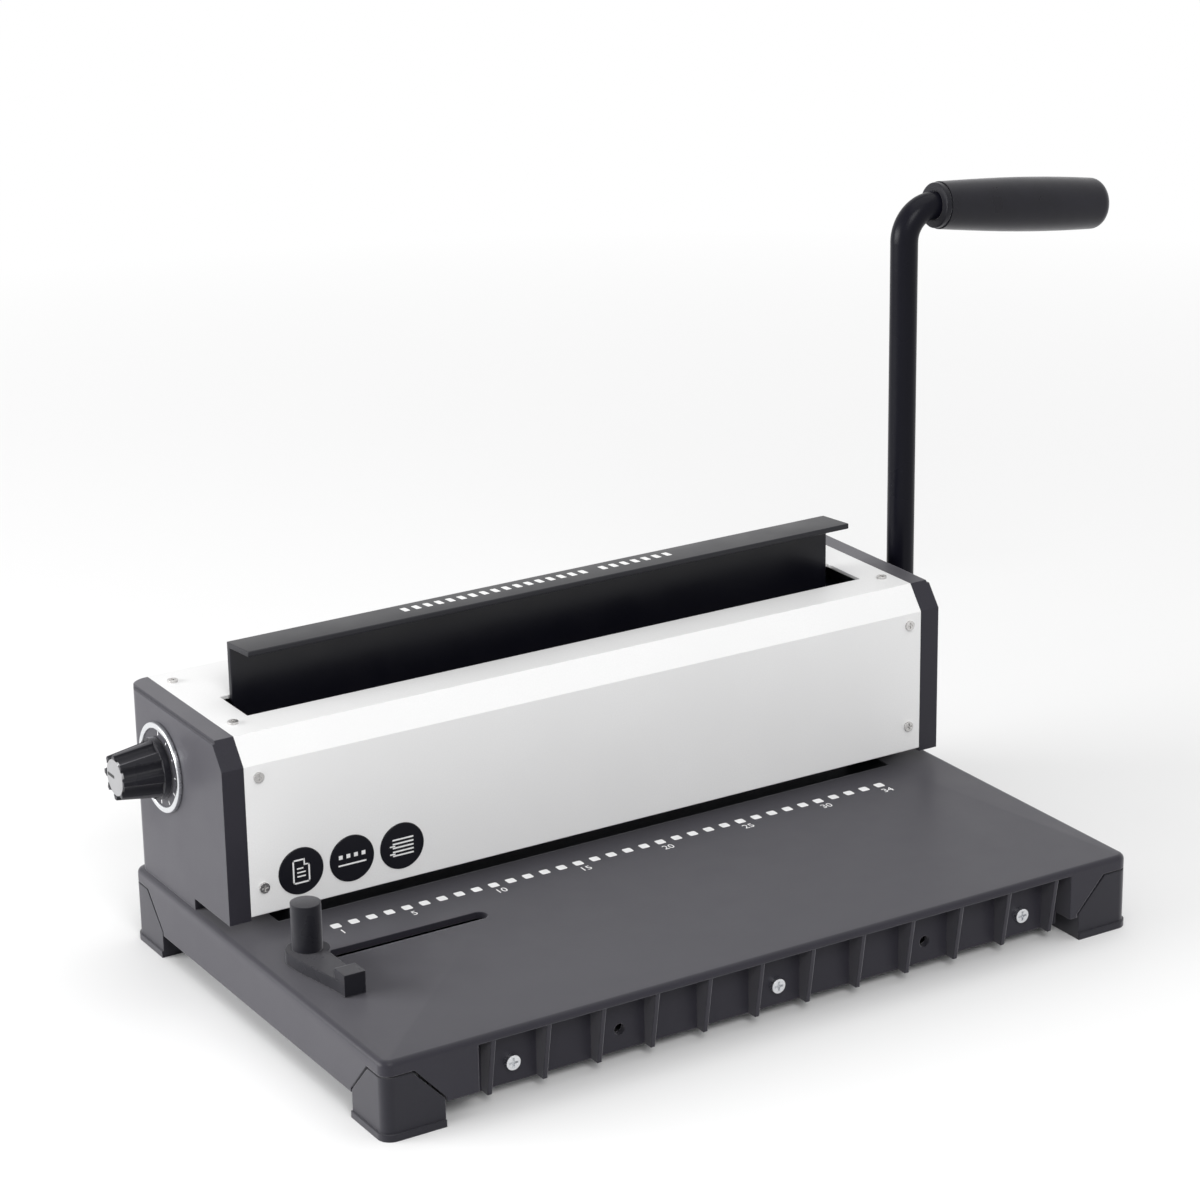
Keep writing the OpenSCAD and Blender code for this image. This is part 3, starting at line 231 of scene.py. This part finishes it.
class Finish:
    """A node material, with short ways to add to it."""

    def __init__(self, name, **constants):
        """Constants are the shader's own settings, such as metallic or specular_IOR_level."""
        self.material = bpy.data.materials.new(name)
        self.material.use_nodes = True
        self.tree = self.material.node_tree
        self.shader = self.tree.nodes["Principled BSDF"]
        self.place = self.add("ShaderNodeTexCoord").outputs["Object"]
        for socket, value in constants.items():
            words = (word if word.isupper() else word.title() for word in socket.split("_"))
            self.shader.inputs[" ".join(words)].default_value = value

    def add(self, kind, inputs=None, **settings):
        """A new node with its settings, and its inputs by name or number."""
        node = self.tree.nodes.new(kind)
        for name, value in settings.items():
            setattr(node, name, value)
        for name, value in (inputs or {}).items():
            self.feed(node.inputs[name], value)
        return node

    def feed(self, socket, value):
        """Links a socket to an output, or sets it to a plain value."""
        if isinstance(value, bpy.types.NodeSocket):
            self.tree.links.new(value, socket)
        else:
            socket.default_value = value

    def noise(self, size, detail, stretch=None):
        """Noise with features about size metres across; stretch lengthens them along each axis."""
        place = self.place
        if stretch:
            shrink = tuple(1 / s for s in stretch)
            place = self.add("ShaderNodeMapping", {"Vector": place, "Scale": shrink}).outputs["Vector"]
        node = self.add("ShaderNodeTexNoise", {"Vector": place, "Scale": 1 / size, "Detail": detail})
        return node.outputs[0]

    def spread(self, value, low, high, start=0.0, end=1.0):
        """Maps low..high of a value to start..end."""
        node = self.add("ShaderNodeMapRange")
        for socket, setting in zip(node.inputs, (value, low, high, start, end)):
            self.feed(socket, setting)
        return node.outputs["Result"]

    def times(self, first, second):
        """Product of two values."""
        return self.add("ShaderNodeMath", {0: first, 1: second}, operation="MULTIPLY").outputs[0]

    def mix(self, factor, first, second):
        """Colour between first, at factor 0, and second, at factor 1."""
        node = self.add("ShaderNodeMix", data_type="RGBA")
        for index, value in ((0, factor), (6, first), (7, second)):
            self.feed(node.inputs[index], value)
        return node.outputs[2]

    def edges(self, width):
        """About 1 along the piece's edges and 0 on its faces."""
        rounded = self.add("ShaderNodeBevel", {"Radius": width}, samples=EDGE_SAMPLES)
        face = self.add("ShaderNodeNewGeometry")
        ends = {0: rounded.outputs["Normal"], 1: face.outputs["Normal"]}
        likeness = self.add("ShaderNodeVectorMath", ends, operation="DOT_PRODUCT")
        return self.spread(likeness.outputs["Value"], FACE_LIKENESS, EDGE_LIKENESS)

    def relief(self, height, depth, soft_edge=0.0):
        """Bump from a height, over edges that are rounded by soft_edge metres."""
        bump = self.add("ShaderNodeBump", {"Height": height, "Distance": depth, "Strength": 1.0})
        if soft_edge:
            rounded = self.add("ShaderNodeBevel", {"Radius": soft_edge}, samples=EDGE_SAMPLES)
            self.feed(bump.inputs["Normal"], rounded.outputs["Normal"])
        self.feed(self.shader.inputs["Normal"], bump.outputs["Normal"])

    def colour(self, value):
        """Sets or links the shader's base colour."""
        self.feed(self.shader.inputs["Base Color"], value)

    def roughness(self, value):
        """Sets or links the shader's roughness."""
        self.feed(self.shader.inputs["Roughness"], value)


def shade(colour, factor=1.0):
    """A colour made lighter or darker, with its alpha."""
    return tuple(c * factor for c in colour) + (1.0,)


def moulded_plastic(name, colour, rough, gloss=MATT_GLOSS, sheen=MATT_SHEEN,
                    grain=PLASTIC_GRAIN, edge_wear_and_highlight=1.5):
    """Moulded plastic with a spark-eroded grain, handling smudges, and edges painted paler: partly wear from
    rubbing, partly a painted highlight.
    """
    finish = Finish(name, specular_IOR_level=gloss, sheen_weight=sheen,
                    sheen_roughness=PLASTIC_SHEEN_SPREAD, sheen_tint=SHEEN_TINT)
    cloud = finish.noise(PLASTIC_CLOUD, 3)
    speck = finish.noise(grain, 2)
    smudge = finish.noise(PLASTIC_SMUDGE, 4)
    # Edges are painted paler, more in random patches: wear from rubbing, and a painted highlight along the edges
    patches = finish.spread(finish.noise(PLASTIC_RUB_AND_HIGHLIGHT, 4), 0.35, 0.7, 0.2, 0.8)
    rubbed_and_highlit = finish.times(finish.edges(PLASTIC_EDGE), patches)
    tone = finish.mix(finish.spread(cloud, *MIDDLE), shade(colour, 0.93), shade(colour, 1.06))
    tone = finish.mix(finish.spread(speck, 0.3, 0.8), tone, shade(colour, 1.18))
    finish.colour(finish.mix(rubbed_and_highlit, tone, shade(colour, edge_wear_and_highlight)))
    finish.roughness(finish.spread(smudge, *WIDE, rough - 0.03, rough + 0.04))
    finish.relief(speck, PLASTIC_GRAIN_DEPTH, PLASTIC_EDGE)
    return finish.material


def powder_coat(name, colour, rough, gloss=SATIN_GLOSS,
                peel=COAT_PEEL, depth=COAT_PEEL_DEPTH, edge_wear_highlight_tone=1.0):
    """Baked coating on sheet metal with a fine orange peel, faint unevenness, and edges painted paler: partly
    wear, partly a painted highlight.
    """
    finish = Finish(name, specular_IOR_level=gloss)
    cloud = finish.noise(COAT_CLOUD, 2)
    peel_height = finish.noise(peel, 2)
    smudge = finish.noise(COAT_SMUDGE, 3)
    # Edges are painted paler, more in random patches: wear of the coat, and a painted highlight along the edges
    worn_and_highlit = finish.times(finish.edges(COAT_EDGE), finish.spread(finish.noise(COAT_WEAR_AND_HIGHLIGHT, 4), 0.4, 0.7))
    tone = finish.mix(finish.spread(cloud, *MIDDLE), shade(colour, 0.975), shade(colour, 1.015))
    tone = finish.mix(finish.spread(peel_height, 0.25, 0.75), shade(colour, 0.96), tone)
    finish.colour(finish.mix(worn_and_highlit, tone, shade(colour, edge_wear_highlight_tone)))
    finish.roughness(finish.spread(smudge, *WIDE, rough - 0.05, rough + 0.05))
    finish.relief(peel_height, depth, COAT_EDGE)
    return finish.material


def drawn_metal(name, colour, rough, lines=LINES_ALONG_X, depth=METAL_LINE_DEPTH):
    """Metal with fine drawing or grinding lines, or with a fine grain where lines is NO_LINES."""
    finish = Finish(name, metallic=1.0)
    scratch = finish.noise(METAL_LINE, 3, lines)
    stain = finish.noise(METAL_STAIN, 3)
    tone = finish.mix(finish.spread(stain, *WIDE), shade(colour, 0.85), shade(colour, 1.05))
    finish.colour(finish.mix(finish.spread(scratch, *MIDDLE), shade(colour, 0.9), tone))
    finish.roughness(finish.spread(scratch, *WIDE, rough - 0.08, rough + 0.1))
    finish.relief(scratch, depth, METAL_EDGE)
    return finish.material


def soft_grip(name, colour, rough):
    """Satin grip moulding with a very fine matt grain and smears from hands."""
    finish = Finish(name, specular_IOR_level=GRIP_GLOSS, sheen_weight=GRIP_SHEEN,
                    sheen_roughness=GRIP_SHEEN_SPREAD, sheen_tint=SHEEN_TINT)
    speck = finish.noise(GRIP_GRAIN, 2)
    smear = finish.noise(GRIP_SMEAR, 4)
    finish.colour(finish.mix(finish.spread(smear, *WIDE), shade(colour, 0.85), shade(colour, 1.2)))
    finish.roughness(finish.spread(smear, *WIDE, rough, rough + 0.09))
    finish.relief(speck, GRIP_GRAIN_DEPTH, GRIP_EDGE)
    return finish.material


def print_ink(name, colour, rough):
    """Screen print with pinholes and uneven cover."""
    finish = Finish(name)
    pinhole = finish.noise(INK_PINHOLE, 3)
    cloud = finish.noise(INK_CLOUD, 2)
    tone = finish.mix(finish.spread(cloud, *WIDE), shade(colour, 0.9), shade(colour))
    finish.colour(finish.mix(finish.spread(pinhole, 0.68, 0.78), tone, shade(colour, 0.55)))
    finish.roughness(finish.spread(cloud, *WIDE, rough - 0.05, rough + 0.08))
    finish.relief(pinhole, INK_PINHOLE_DEPTH)
    return finish.material


# Finishes for the material slots, for single nodes in their place, and for the added pieces

black_plastic = moulded_plastic("black plastic", PLASTIC_BLACK, rough=0.28, gloss=DEEP_GLOSS,
                                sheen=DEEP_SHEEN, grain=0.3 * MM, edge_wear_and_highlight=1.8)
finishes = {
    "grey_plastic": moulded_plastic("graphite plastic", GRAPHITE, rough=0.40),
    "foot_plastic": moulded_plastic("foot plastic", FOOT_GREY, rough=0.46, edge_wear_and_highlight=1.4),
    "black_paint": powder_coat("black coat", COAT_BLACK, rough=0.34, edge_wear_highlight_tone=2.5),
    "black_plastic": black_plastic,
    "grip_rubber": soft_grip("grip", GRIP_BLACK, rough=0.27),
    "white_paint": powder_coat("white coat", COVER_WHITE, rough=0.42, peel=0.7 * MM),
    "bronze": drawn_metal("bronze", BRONZE, rough=0.4),
    "bright_metal": drawn_metal("zinc plate", ZINC, rough=0.24, lines=NO_LINES, depth=0.002 * MM),
    "steel": drawn_metal("steel", STEEL, rough=0.35),
}
own_finishes = {
    "knob_disc": drawn_metal("satin aluminium", SATIN_ALUMINIUM, rough=0.38),
    "cover_screws": drawn_metal("nickel plate", NICKEL, rough=0.3, depth=0.003 * MM),
    "edge_guide": black_plastic,
    "clamp_post": black_plastic,
    # Die plate: blackened steel, darkened also as painted shade in the paper slot
    "die_plate": drawn_metal("blackened steel and slot shade", BLACK_OXIDE_AND_SLOT_SHADE, rough=0.4),
    "lever_rod": powder_coat("lever coat", COAT_BLACK, rough=0.3, gloss=LEVER_GLOSS, edge_wear_highlight_tone=2.5),
}
white_ink = print_ink("white print", INK_WHITE, rough=0.55)
black_ink = print_ink("black print", INK_BLACK, rough=0.55)
badge_vinyl = powder_coat("badge vinyl", COAT_BLACK, rough=0.3, peel=1.5 * MM, depth=0.006 * MM)

for part in frame["record"]["subparts"]:
    cad_mesh = nodes[part["node"]].data
    cad_mesh.materials.clear()
    cad_mesh.materials.append(own_finishes.get(part["node"], finishes[part["material_slot"]]))


# Rounded edges and smooth shading on the CAD nodes

for node_name, node in nodes.items():
    weld = node.modifiers.new("weld", "WELD")
    weld.merge_threshold = WELD_REACH
    node.data.shade_smooth()
    if node_name in ROUNDED_EDGES:
        rounding = node.modifiers.new("round edges", "BEVEL")
        rounding.width = ROUNDED_EDGES[node_name]
        rounding.segments = ROUNDING_STEPS
        rounding.angle_limit = math.radians(ROUNDED_ABOVE)
    split = node.modifiers.new("sharp edges", "EDGE_SPLIT")
    split.split_angle = math.radians(SHARP_ABOVE)


# Shapes

def solids(node):
    """Lowest and highest corner of each separate solid of a node, from left to right."""
    mesh = nodes[node].data
    places = {}
    leader = []
    index_of = []
    for vertex in mesh.vertices:
        key = tuple(round(c / SAME_POINT) for c in vertex.co)
        if key not in places:
            places[key] = len(leader)
            leader.append(len(leader))
        index_of.append(places[key])

    def head(i):
        """The corner that stands for the solid of corner i."""
        while leader[i] != i:
            leader[i] = leader[leader[i]]
            i = leader[i]
        return i

    for polygon in mesh.polygons:
        first = head(index_of[polygon.vertices[0]])
        for corner in polygon.vertices[1:]:
            leader[head(index_of[corner])] = first
    groups = {}
    for vertex, place in zip(mesh.vertices, index_of):
        groups.setdefault(head(place), []).append(vertex.co)
    boxes = []
    for points in groups.values():
        low = Vector(min(p[axis] for p in points) for axis in range(3))
        high = Vector(max(p[axis] for p in points) for axis in range(3))
        boxes.append((low, high))
    return sorted(boxes, key=lambda pair: tuple(pair[0]))


def to_mesh(shape, name="shape"):
    """Mesh from a bmesh, with its faces turned outward."""
    bmesh.ops.recalc_face_normals(shape, faces=shape.faces)
    mesh = bpy.data.meshes.new(name)
    shape.to_mesh(mesh)
    shape.free()
    return mesh


def lathe(profile, steps):
    """Mesh made by turning (radius, height) points round Z; radius 0 closes an end."""
    shape = bmesh.new()
    rings = []
    for radius, height in profile:
        if radius == 0:
            rings.append([shape.verts.new((0, 0, height))])
            continue
        angles = (2 * math.pi * i / steps for i in range(steps))
        circle = [(radius * math.cos(a), radius * math.sin(a), height) for a in angles]
        rings.append([shape.verts.new(point) for point in circle])
    for lower, upper in zip(rings, rings[1:]):
        for i in range(steps):
            j = (i + 1) % steps
            below = (lower[i % len(lower)], lower[j % len(lower)])
            above = (upper[j % len(upper)], upper[i % len(upper)])
            shape.faces.new(dict.fromkeys(below + above))
    return to_mesh(shape)


def plate(outline, thickness):
    """Thin plate on z = 0 with the given outline of (x, y) points."""
    shape = bmesh.new()
    face = shape.faces.new([shape.verts.new((x, y, 0)) for x, y in outline])
    grown = bmesh.ops.extrude_face_region(shape, geom=[face])
    lifted = [v for v in grown["geom"] if isinstance(v, bmesh.types.BMVert)]
    bmesh.ops.translate(shape, verts=lifted, vec=(0, 0, thickness))
    return to_mesh(shape)


def soft_oblong(width, height, corner=0.18, steps=4):
    """Outline of an oblong with round corners; corner is a share of the width."""
    radius = corner * width
    signs = ((1, 1), (-1, 1), (-1, -1), (1, -1))
    points = []
    for quarter, (right, up) in enumerate(signs):
        middle = Vector((right * (width / 2 - radius), up * (height / 2 - radius)))
        for i in range(steps + 1):
            angle = quarter * math.pi / 2 + i * math.pi / 2 / steps
            points.append((middle.x + radius * math.cos(angle), middle.y + radius * math.sin(angle)))
    return points


def written(text, size, thickness):
    """Mesh of plain numerals, centred on the origin in the X-Y plane."""
    curve = bpy.data.curves.new("numeral", "FONT")
    curve.body = text
    curve.size = size
    curve.align_x = "CENTER"
    curve.align_y = "CENTER"
    curve.extrude = thickness / 2
    holder = bpy.data.objects.new("numeral", curve)
    bpy.context.scene.collection.objects.link(holder)
    bpy.context.view_layer.update()
    mesh = bpy.data.meshes.new_from_object(holder)
    bpy.data.objects.remove(holder)
    bpy.data.curves.remove(curve)
    return mesh


def gathered(parts):
    """One mesh from (mesh, matrix) pairs."""
    shape = bmesh.new()
    for mesh, matrix in parts:
        moved = mesh.copy()
        moved.transform(matrix)
        shape.from_mesh(moved)
    return to_mesh(shape)


def add_piece(name, mesh, finish, body, sharp_above=PRINT_SHARP_ABOVE):
    """Object from a mesh that rides on a body; edges over sharp_above degrees stay sharp."""
    mesh.name = name
    mesh.materials.clear()
    mesh.materials.append(finish)
    mesh.shade_smooth()
    mesh.set_sharp_from_angle(angle=math.radians(sharp_above))
    piece = bpy.data.objects.new(name, mesh)
    bpy.context.scene.collection.objects.link(piece)
    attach(piece, body)
    return piece


# Prints on the deck

deck_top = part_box("base_shell")[1].z
house_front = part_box("top_cover")[0].y
mark_y = house_front - MARK_TO_HOUSING
hole_xs = [(low.x + high.x) / 2 for low, high in solids("punches")]
row_middle = (hole_xs[0] + hole_xs[-1]) / 2
mark = plate(soft_oblong(MARK_SIDE, MARK_SIDE), PRINT_THICKNESS)
marks = [(mark, Matrix.Translation((x, mark_y, deck_top))) for x in hole_xs]
add_piece("deck_marks", gathered(marks), white_ink, "frame")

counted = [1] + list(range(NUMBER_EVERY, len(hole_xs), NUMBER_EVERY)) + [len(hole_xs)]
numbers = []
for count in counted:
    spot = Matrix.Translation((hole_xs[count - 1], mark_y - NUMBER_DROP, deck_top + PRINT_THICKNESS / 2))
    numbers.append((written(str(count), NUMBER_SIZE, PRINT_THICKNESS), spot))
add_piece("deck_numbers", gathered(numbers), white_ink, "frame")


# Badges on the cover, with plain pictures of a sheet, a row of holes and a bound stack

def bar(left, low, right, high):
    """Thin printed bar between two corners."""
    return plate([(left, low), (right, low), (right, high), (left, high)], PRINT_THICKNESS)


def sheet_picture():
    """Outline of a sheet with a folded corner, and lines of print on it."""
    right = SHEET_SIZE[0] / 2
    top = SHEET_SIZE[1] / 2
    fold_x = right - SHEET_FOLD
    fold_y = top - SHEET_FOLD
    fold_low = fold_y - FINE_STROKE
    bars = [
        bar(-right, -top, -right + STROKE, top),
        bar(right - STROKE, -top, right, fold_y),
        bar(-right, -top, right, -top + STROKE),
        bar(-right, top - STROKE, fold_x, top),
        bar(fold_x, fold_low, right, fold_y),
        bar(fold_x - FINE_STROKE / 2, fold_low, fold_x + FINE_STROKE / 2, top),
    ]
    for line, end in enumerate(TEXT_ENDS):
        low = FIRST_LINE_LOW - line * PICTURE_PITCH
        bars.append(bar(TEXT_LEFT, low, end, low + FINE_STROKE))
    return bars


def holes_picture():
    """Row of square holes over the edge of a sheet."""
    bars = []
    for hole in range(HOLE_COUNT):
        left = (2 * hole - HOLE_COUNT + 0.5) * HOLE_SIDE
        bars.append(bar(left, HOLE_LOW, left + HOLE_SIDE, HOLE_LOW + HOLE_SIDE))
    edge_end, edge_low = PAPER_EDGE
    bars.append(bar(-edge_end, edge_low, edge_end, edge_low + STROKE))
    return bars


def stack_picture():
    """Stack of sheets with a loop round every other gap at its left."""
    lows = [STACK_LOW + sheet * PICTURE_PITCH for sheet in range(STACK_SHEETS)]
    bars = [bar(STACK_LEFT, low, STACK_RIGHT, low + STROKE) for low in lows]
    for low in lows[:-1:2]:
        loop_low = low + LOOP_RISE
        bars.append(bar(LOOP_LEFT, loop_low, LOOP_RIGHT, loop_low + FINE_STROKE))
    return bars


disc_radius = BADGE_DIAMETER / 2
disc_profile = [
    (0, 0),
    (disc_radius, 0),
    (disc_radius, BADGE_STRAIGHT_RIM),
    (disc_radius - BADGE_CHAMFER, BADGE_THICKNESS),
    (0, BADGE_THICKNESS),
]
disc = lathe(disc_profile, BADGE_STEPS)
upright = Matrix.Rotation(math.radians(90), 4, "X")
discs = []
pictures = []
for place, picture in enumerate((sheet_picture(), holes_picture(), stack_picture())):
    badge_x = row_middle + BADGE_FIRST + place * BADGE_PITCH
    spot = Matrix.Translation((badge_x, house_front, deck_top + BADGE_HEIGHT)) @ upright
    discs.append((disc, spot))
    raised = spot @ Matrix.Translation((0, 0, BADGE_THICKNESS))
    pictures += [(shape, raised) for shape in picture]
add_piece("cover_badges", gathered(discs), badge_vinyl, "frame")
add_piece("badge_pictures", gathered(pictures), white_ink, "frame")


# Short dashes along the press bar's flange, which slopes down to the rear

flange_low, flange_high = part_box("press_bar")
bar_points = [vertex.co for vertex in nodes["press_bar"].data.vertices]
flange_rear = max(point.z for point in bar_points if point.y > flange_high.y - FLANGE_EDGE_REACH)
front_edge = Vector((row_middle, flange_low.y, flange_high.z))
rear_edge = Vector((row_middle, flange_high.y, flange_rear))
tilt = Matrix.Rotation(math.atan2(flange_rear - flange_high.z, flange_high.y - flange_low.y), 4, "X")
dash = plate(soft_oblong(*FLANGE_DASH), PRINT_THICKNESS)
dashes = []
for start, count in FLANGE_PRINTS:
    for step in range(count):
        along = Vector((start + step * FLANGE_PITCH, 0, 0))
        spot = Matrix.Translation(front_edge.lerp(rear_edge, FLANGE_PRINT_BACK) + along)
        dashes.append((dash, spot @ tilt))
add_piece("flange_prints", gathered(dashes), white_ink, "press")


# Ticks on the dial and a pointer line on the knob's disc

facing_left = Matrix.Rotation(math.radians(-90), 4, "Y")
dial_low, dial_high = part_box("dial_plate")
dial_centre = (dial_low + dial_high) / 2
dial_radius = (dial_high.y - dial_low.y) / 2
on_dial = Matrix.Translation((dial_low.x, dial_centre.y, dial_centre.z)) @ facing_left
outward = Matrix.Translation((0, dial_radius - TICK_INSET, 0))
tick = plate(soft_oblong(*TICK_SIZE), PRINT_THICKNESS)
ticks = []
for step in range(DIAL_TICKS):
    angle = math.radians(DIAL_SWEEP * step / (DIAL_TICKS - 1))
    ticks.append((tick, on_dial @ Matrix.Rotation(angle, 4, "Z") @ outward))
add_piece("dial_ticks", gathered(ticks), white_ink, "frame")

disc_low, disc_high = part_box("knob_disc")
disc_centre = (disc_low + disc_high) / 2
on_disc = Matrix.Translation((disc_low.x, disc_centre.y, disc_centre.z)) @ facing_left
pointer = plate(soft_oblong(*POINTER_SIZE), PRINT_THICKNESS)
pointer.transform(on_disc @ Matrix.Translation((0, POINTER_SIZE[1] / 2 + POINTER_START, 0)))
add_piece("knob_pointer", pointer, black_ink, "knob")


# Return springs: round wire with closed ends

def coil(radius, wire, turns, height, sides=10, steps=40):
    """Tube along a helix that starts at z = 0; its end turns lie nearly flat."""
    shape = bmesh.new()
    count = turns * steps
    rings = []
    for i in range(count + 1):
        wire_share = i / count
        climb = (wire_share - SPRING_END_SHARE) / (1 - 2 * SPRING_END_SHARE)
        climb = min(max(climb, 0), 1)
        rise_share = SPRING_EVEN_RISE * wire_share + (1 - SPRING_EVEN_RISE) * climb
        angle = 2 * math.pi * i / steps
        outward = Vector((math.cos(angle), math.sin(angle), 0))
        middle = outward * radius + Vector((0, 0, wire / 2 + (height - wire) * rise_share))
        ring = []
        for k in range(sides):
            around = 2 * math.pi * k / sides
            offset = outward * math.cos(around) + Vector((0, 0, math.sin(around)))
            ring.append(shape.verts.new(middle + offset * wire / 2))
        rings.append(ring)
    for first, second in zip(rings, rings[1:]):
        for k in range(sides):
            j = (k + 1) % sides
            shape.faces.new((first[k], first[j], second[j], second[k]))
    shape.faces.new(rings[0])
    shape.faces.new(rings[-1])
    return to_mesh(shape)


punch_joint = next(joint for joint in frame["joints"] if joint["name"] == "punch_slide")
for spring in punch_joint["deforming_nodes"]:
    low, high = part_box(spring["node"])
    radius = (high.x - low.x - SPRING_WIRE) / 2
    wire_mesh = coil(radius, SPRING_WIRE, SPRING_TURNS, high.z - low.z)
    wire_mesh.transform(Matrix.Translation(((low.x + high.x) / 2, (low.y + high.y) / 2, low.z)))
    wound_name = spring["node"].replace("return_", "wound_")
    wound = add_piece(wound_name, wire_mesh, finishes["steel"], "frame", SPRING_SHARP_ABOVE)
    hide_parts(spring["node"])
    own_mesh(wound)


# Camera

camera_data = bpy.data.cameras.new("camera")
camera_data.sensor_fit = "HORIZONTAL"
camera_data.sensor_width = SENSOR
camera_data.lens = LENS
camera_data.clip_end = CAMERA_REACH
camera = bpy.data.objects.new("camera", camera_data)
bpy.context.scene.collection.objects.link(camera)
turn = Matrix.Rotation(math.radians(-CAMERA_AZIMUTH), 4, "Z")
lean = Matrix.Rotation(math.radians(90 - CAMERA_ELEVATION), 4, "X")
roll = Matrix.Rotation(math.radians(CAMERA_ROLL), 4, "Z")
camera_place = Vector((row_middle, 0, 0)) + Vector(CAMERA_PLACE)
camera.matrix_world = Matrix.Translation(camera_place) @ turn @ lean @ roll
bpy.context.scene.camera = camera


# Lamps

def area_light(name, place, target, size, power):
    """Soft lamp of a width and height in metres that shines at a target and isn't seen itself."""
    light = bpy.data.lights.new(name, "AREA")
    light.shape = "RECTANGLE"
    light.size, light.size_y = size
    light.energy = power
    lamp = bpy.data.objects.new(name, light)
    lamp.visible_camera = False
    bpy.context.scene.collection.objects.link(lamp)
    aim = Vector(target) - Vector(place)
    lamp.matrix_world = Matrix.Translation(place) @ aim.to_track_quat("-Z", "Y").to_matrix().to_4x4()


area_light("top", place=(0.3, -0.1, 2.2), target=(0, 0, 0), size=(2.0, 2.0), power=16)
area_light("front", place=(-0.6, -2.0, 1.8), target=(0, 0, 0.1), size=(1.2, 1.0), power=32)
area_light("left", place=(-2.0, 0.7, 0.45), target=(0, 0, 0.1), size=(1.6, 0.8), power=50)


# Floor and background

def seen_directly(tree):
    """1 for what the camera, a mirror or a clear piece shows, and 0 for light that falls on things."""
    rays = tree.nodes.new("ShaderNodeLightPath")
    seen = rays.outputs["Is Camera Ray"]
    for kind in ("Is Glossy Ray", "Is Transmission Ray"):
        either = tree.nodes.new("ShaderNodeMath")
        either.operation = "MAXIMUM"
        tree.links.new(seen, either.inputs[0])
        tree.links.new(rays.outputs[kind], either.inputs[1])
        seen = either.outputs[0]
    return seen


floor_shape = bmesh.new()
bmesh.ops.create_grid(floor_shape, x_segments=1, y_segments=1, size=FLOOR_HALF_WIDTH)
floor = bpy.data.objects.new("floor", to_mesh(floor_shape, "floor"))
bpy.context.scene.collection.objects.link(floor)
floor_finish = Finish("floor", roughness=FLOOR_ROUGHNESS)
floor_cloud = floor_finish.noise(FLOOR_CLOUD, 2)
floor_finish.colour(floor_finish.mix(floor_cloud, shade(FLOOR_DARK), shade(FLOOR_PALE)))
distance = floor_finish.add("ShaderNodeVectorMath", {0: floor_finish.place}, operation="LENGTH")
far_off = floor_finish.spread(distance.outputs["Value"], RUNOUT_START, RUNOUT_END)
runout = floor_finish.times(far_off, seen_directly(floor_finish.tree))
white = floor_finish.add("ShaderNodeEmission", {"Color": (1, 1, 1, 1), "Strength": BACKGROUND_WHITE})
surface = floor_finish.add("ShaderNodeMixShader", {0: runout})
floor_finish.feed(surface.inputs[1], floor_finish.shader.outputs["BSDF"])
floor_finish.feed(surface.inputs[2], white.outputs["Emission"])
floor_finish.feed(floor_finish.tree.nodes["Material Output"].inputs["Surface"], surface.outputs["Shader"])
floor.data.materials.append(floor_finish.material)

world = bpy.data.worlds.new("studio")
bpy.context.scene.world = world
world.use_nodes = True
backdrop = world.node_tree.nodes["Background"]
backdrop.inputs["Color"].default_value = (1, 1, 1, 1)
strength = world.node_tree.nodes.new("ShaderNodeMapRange")
strength.inputs["To Min"].default_value = WORLD_LIGHT
strength.inputs["To Max"].default_value = BACKGROUND_WHITE
world.node_tree.links.new(seen_directly(world.node_tree), strength.inputs["Value"])
world.node_tree.links.new(strength.outputs["Result"], backdrop.inputs["Strength"])

bpy.context.scene.view_settings.view_transform = "Standard"
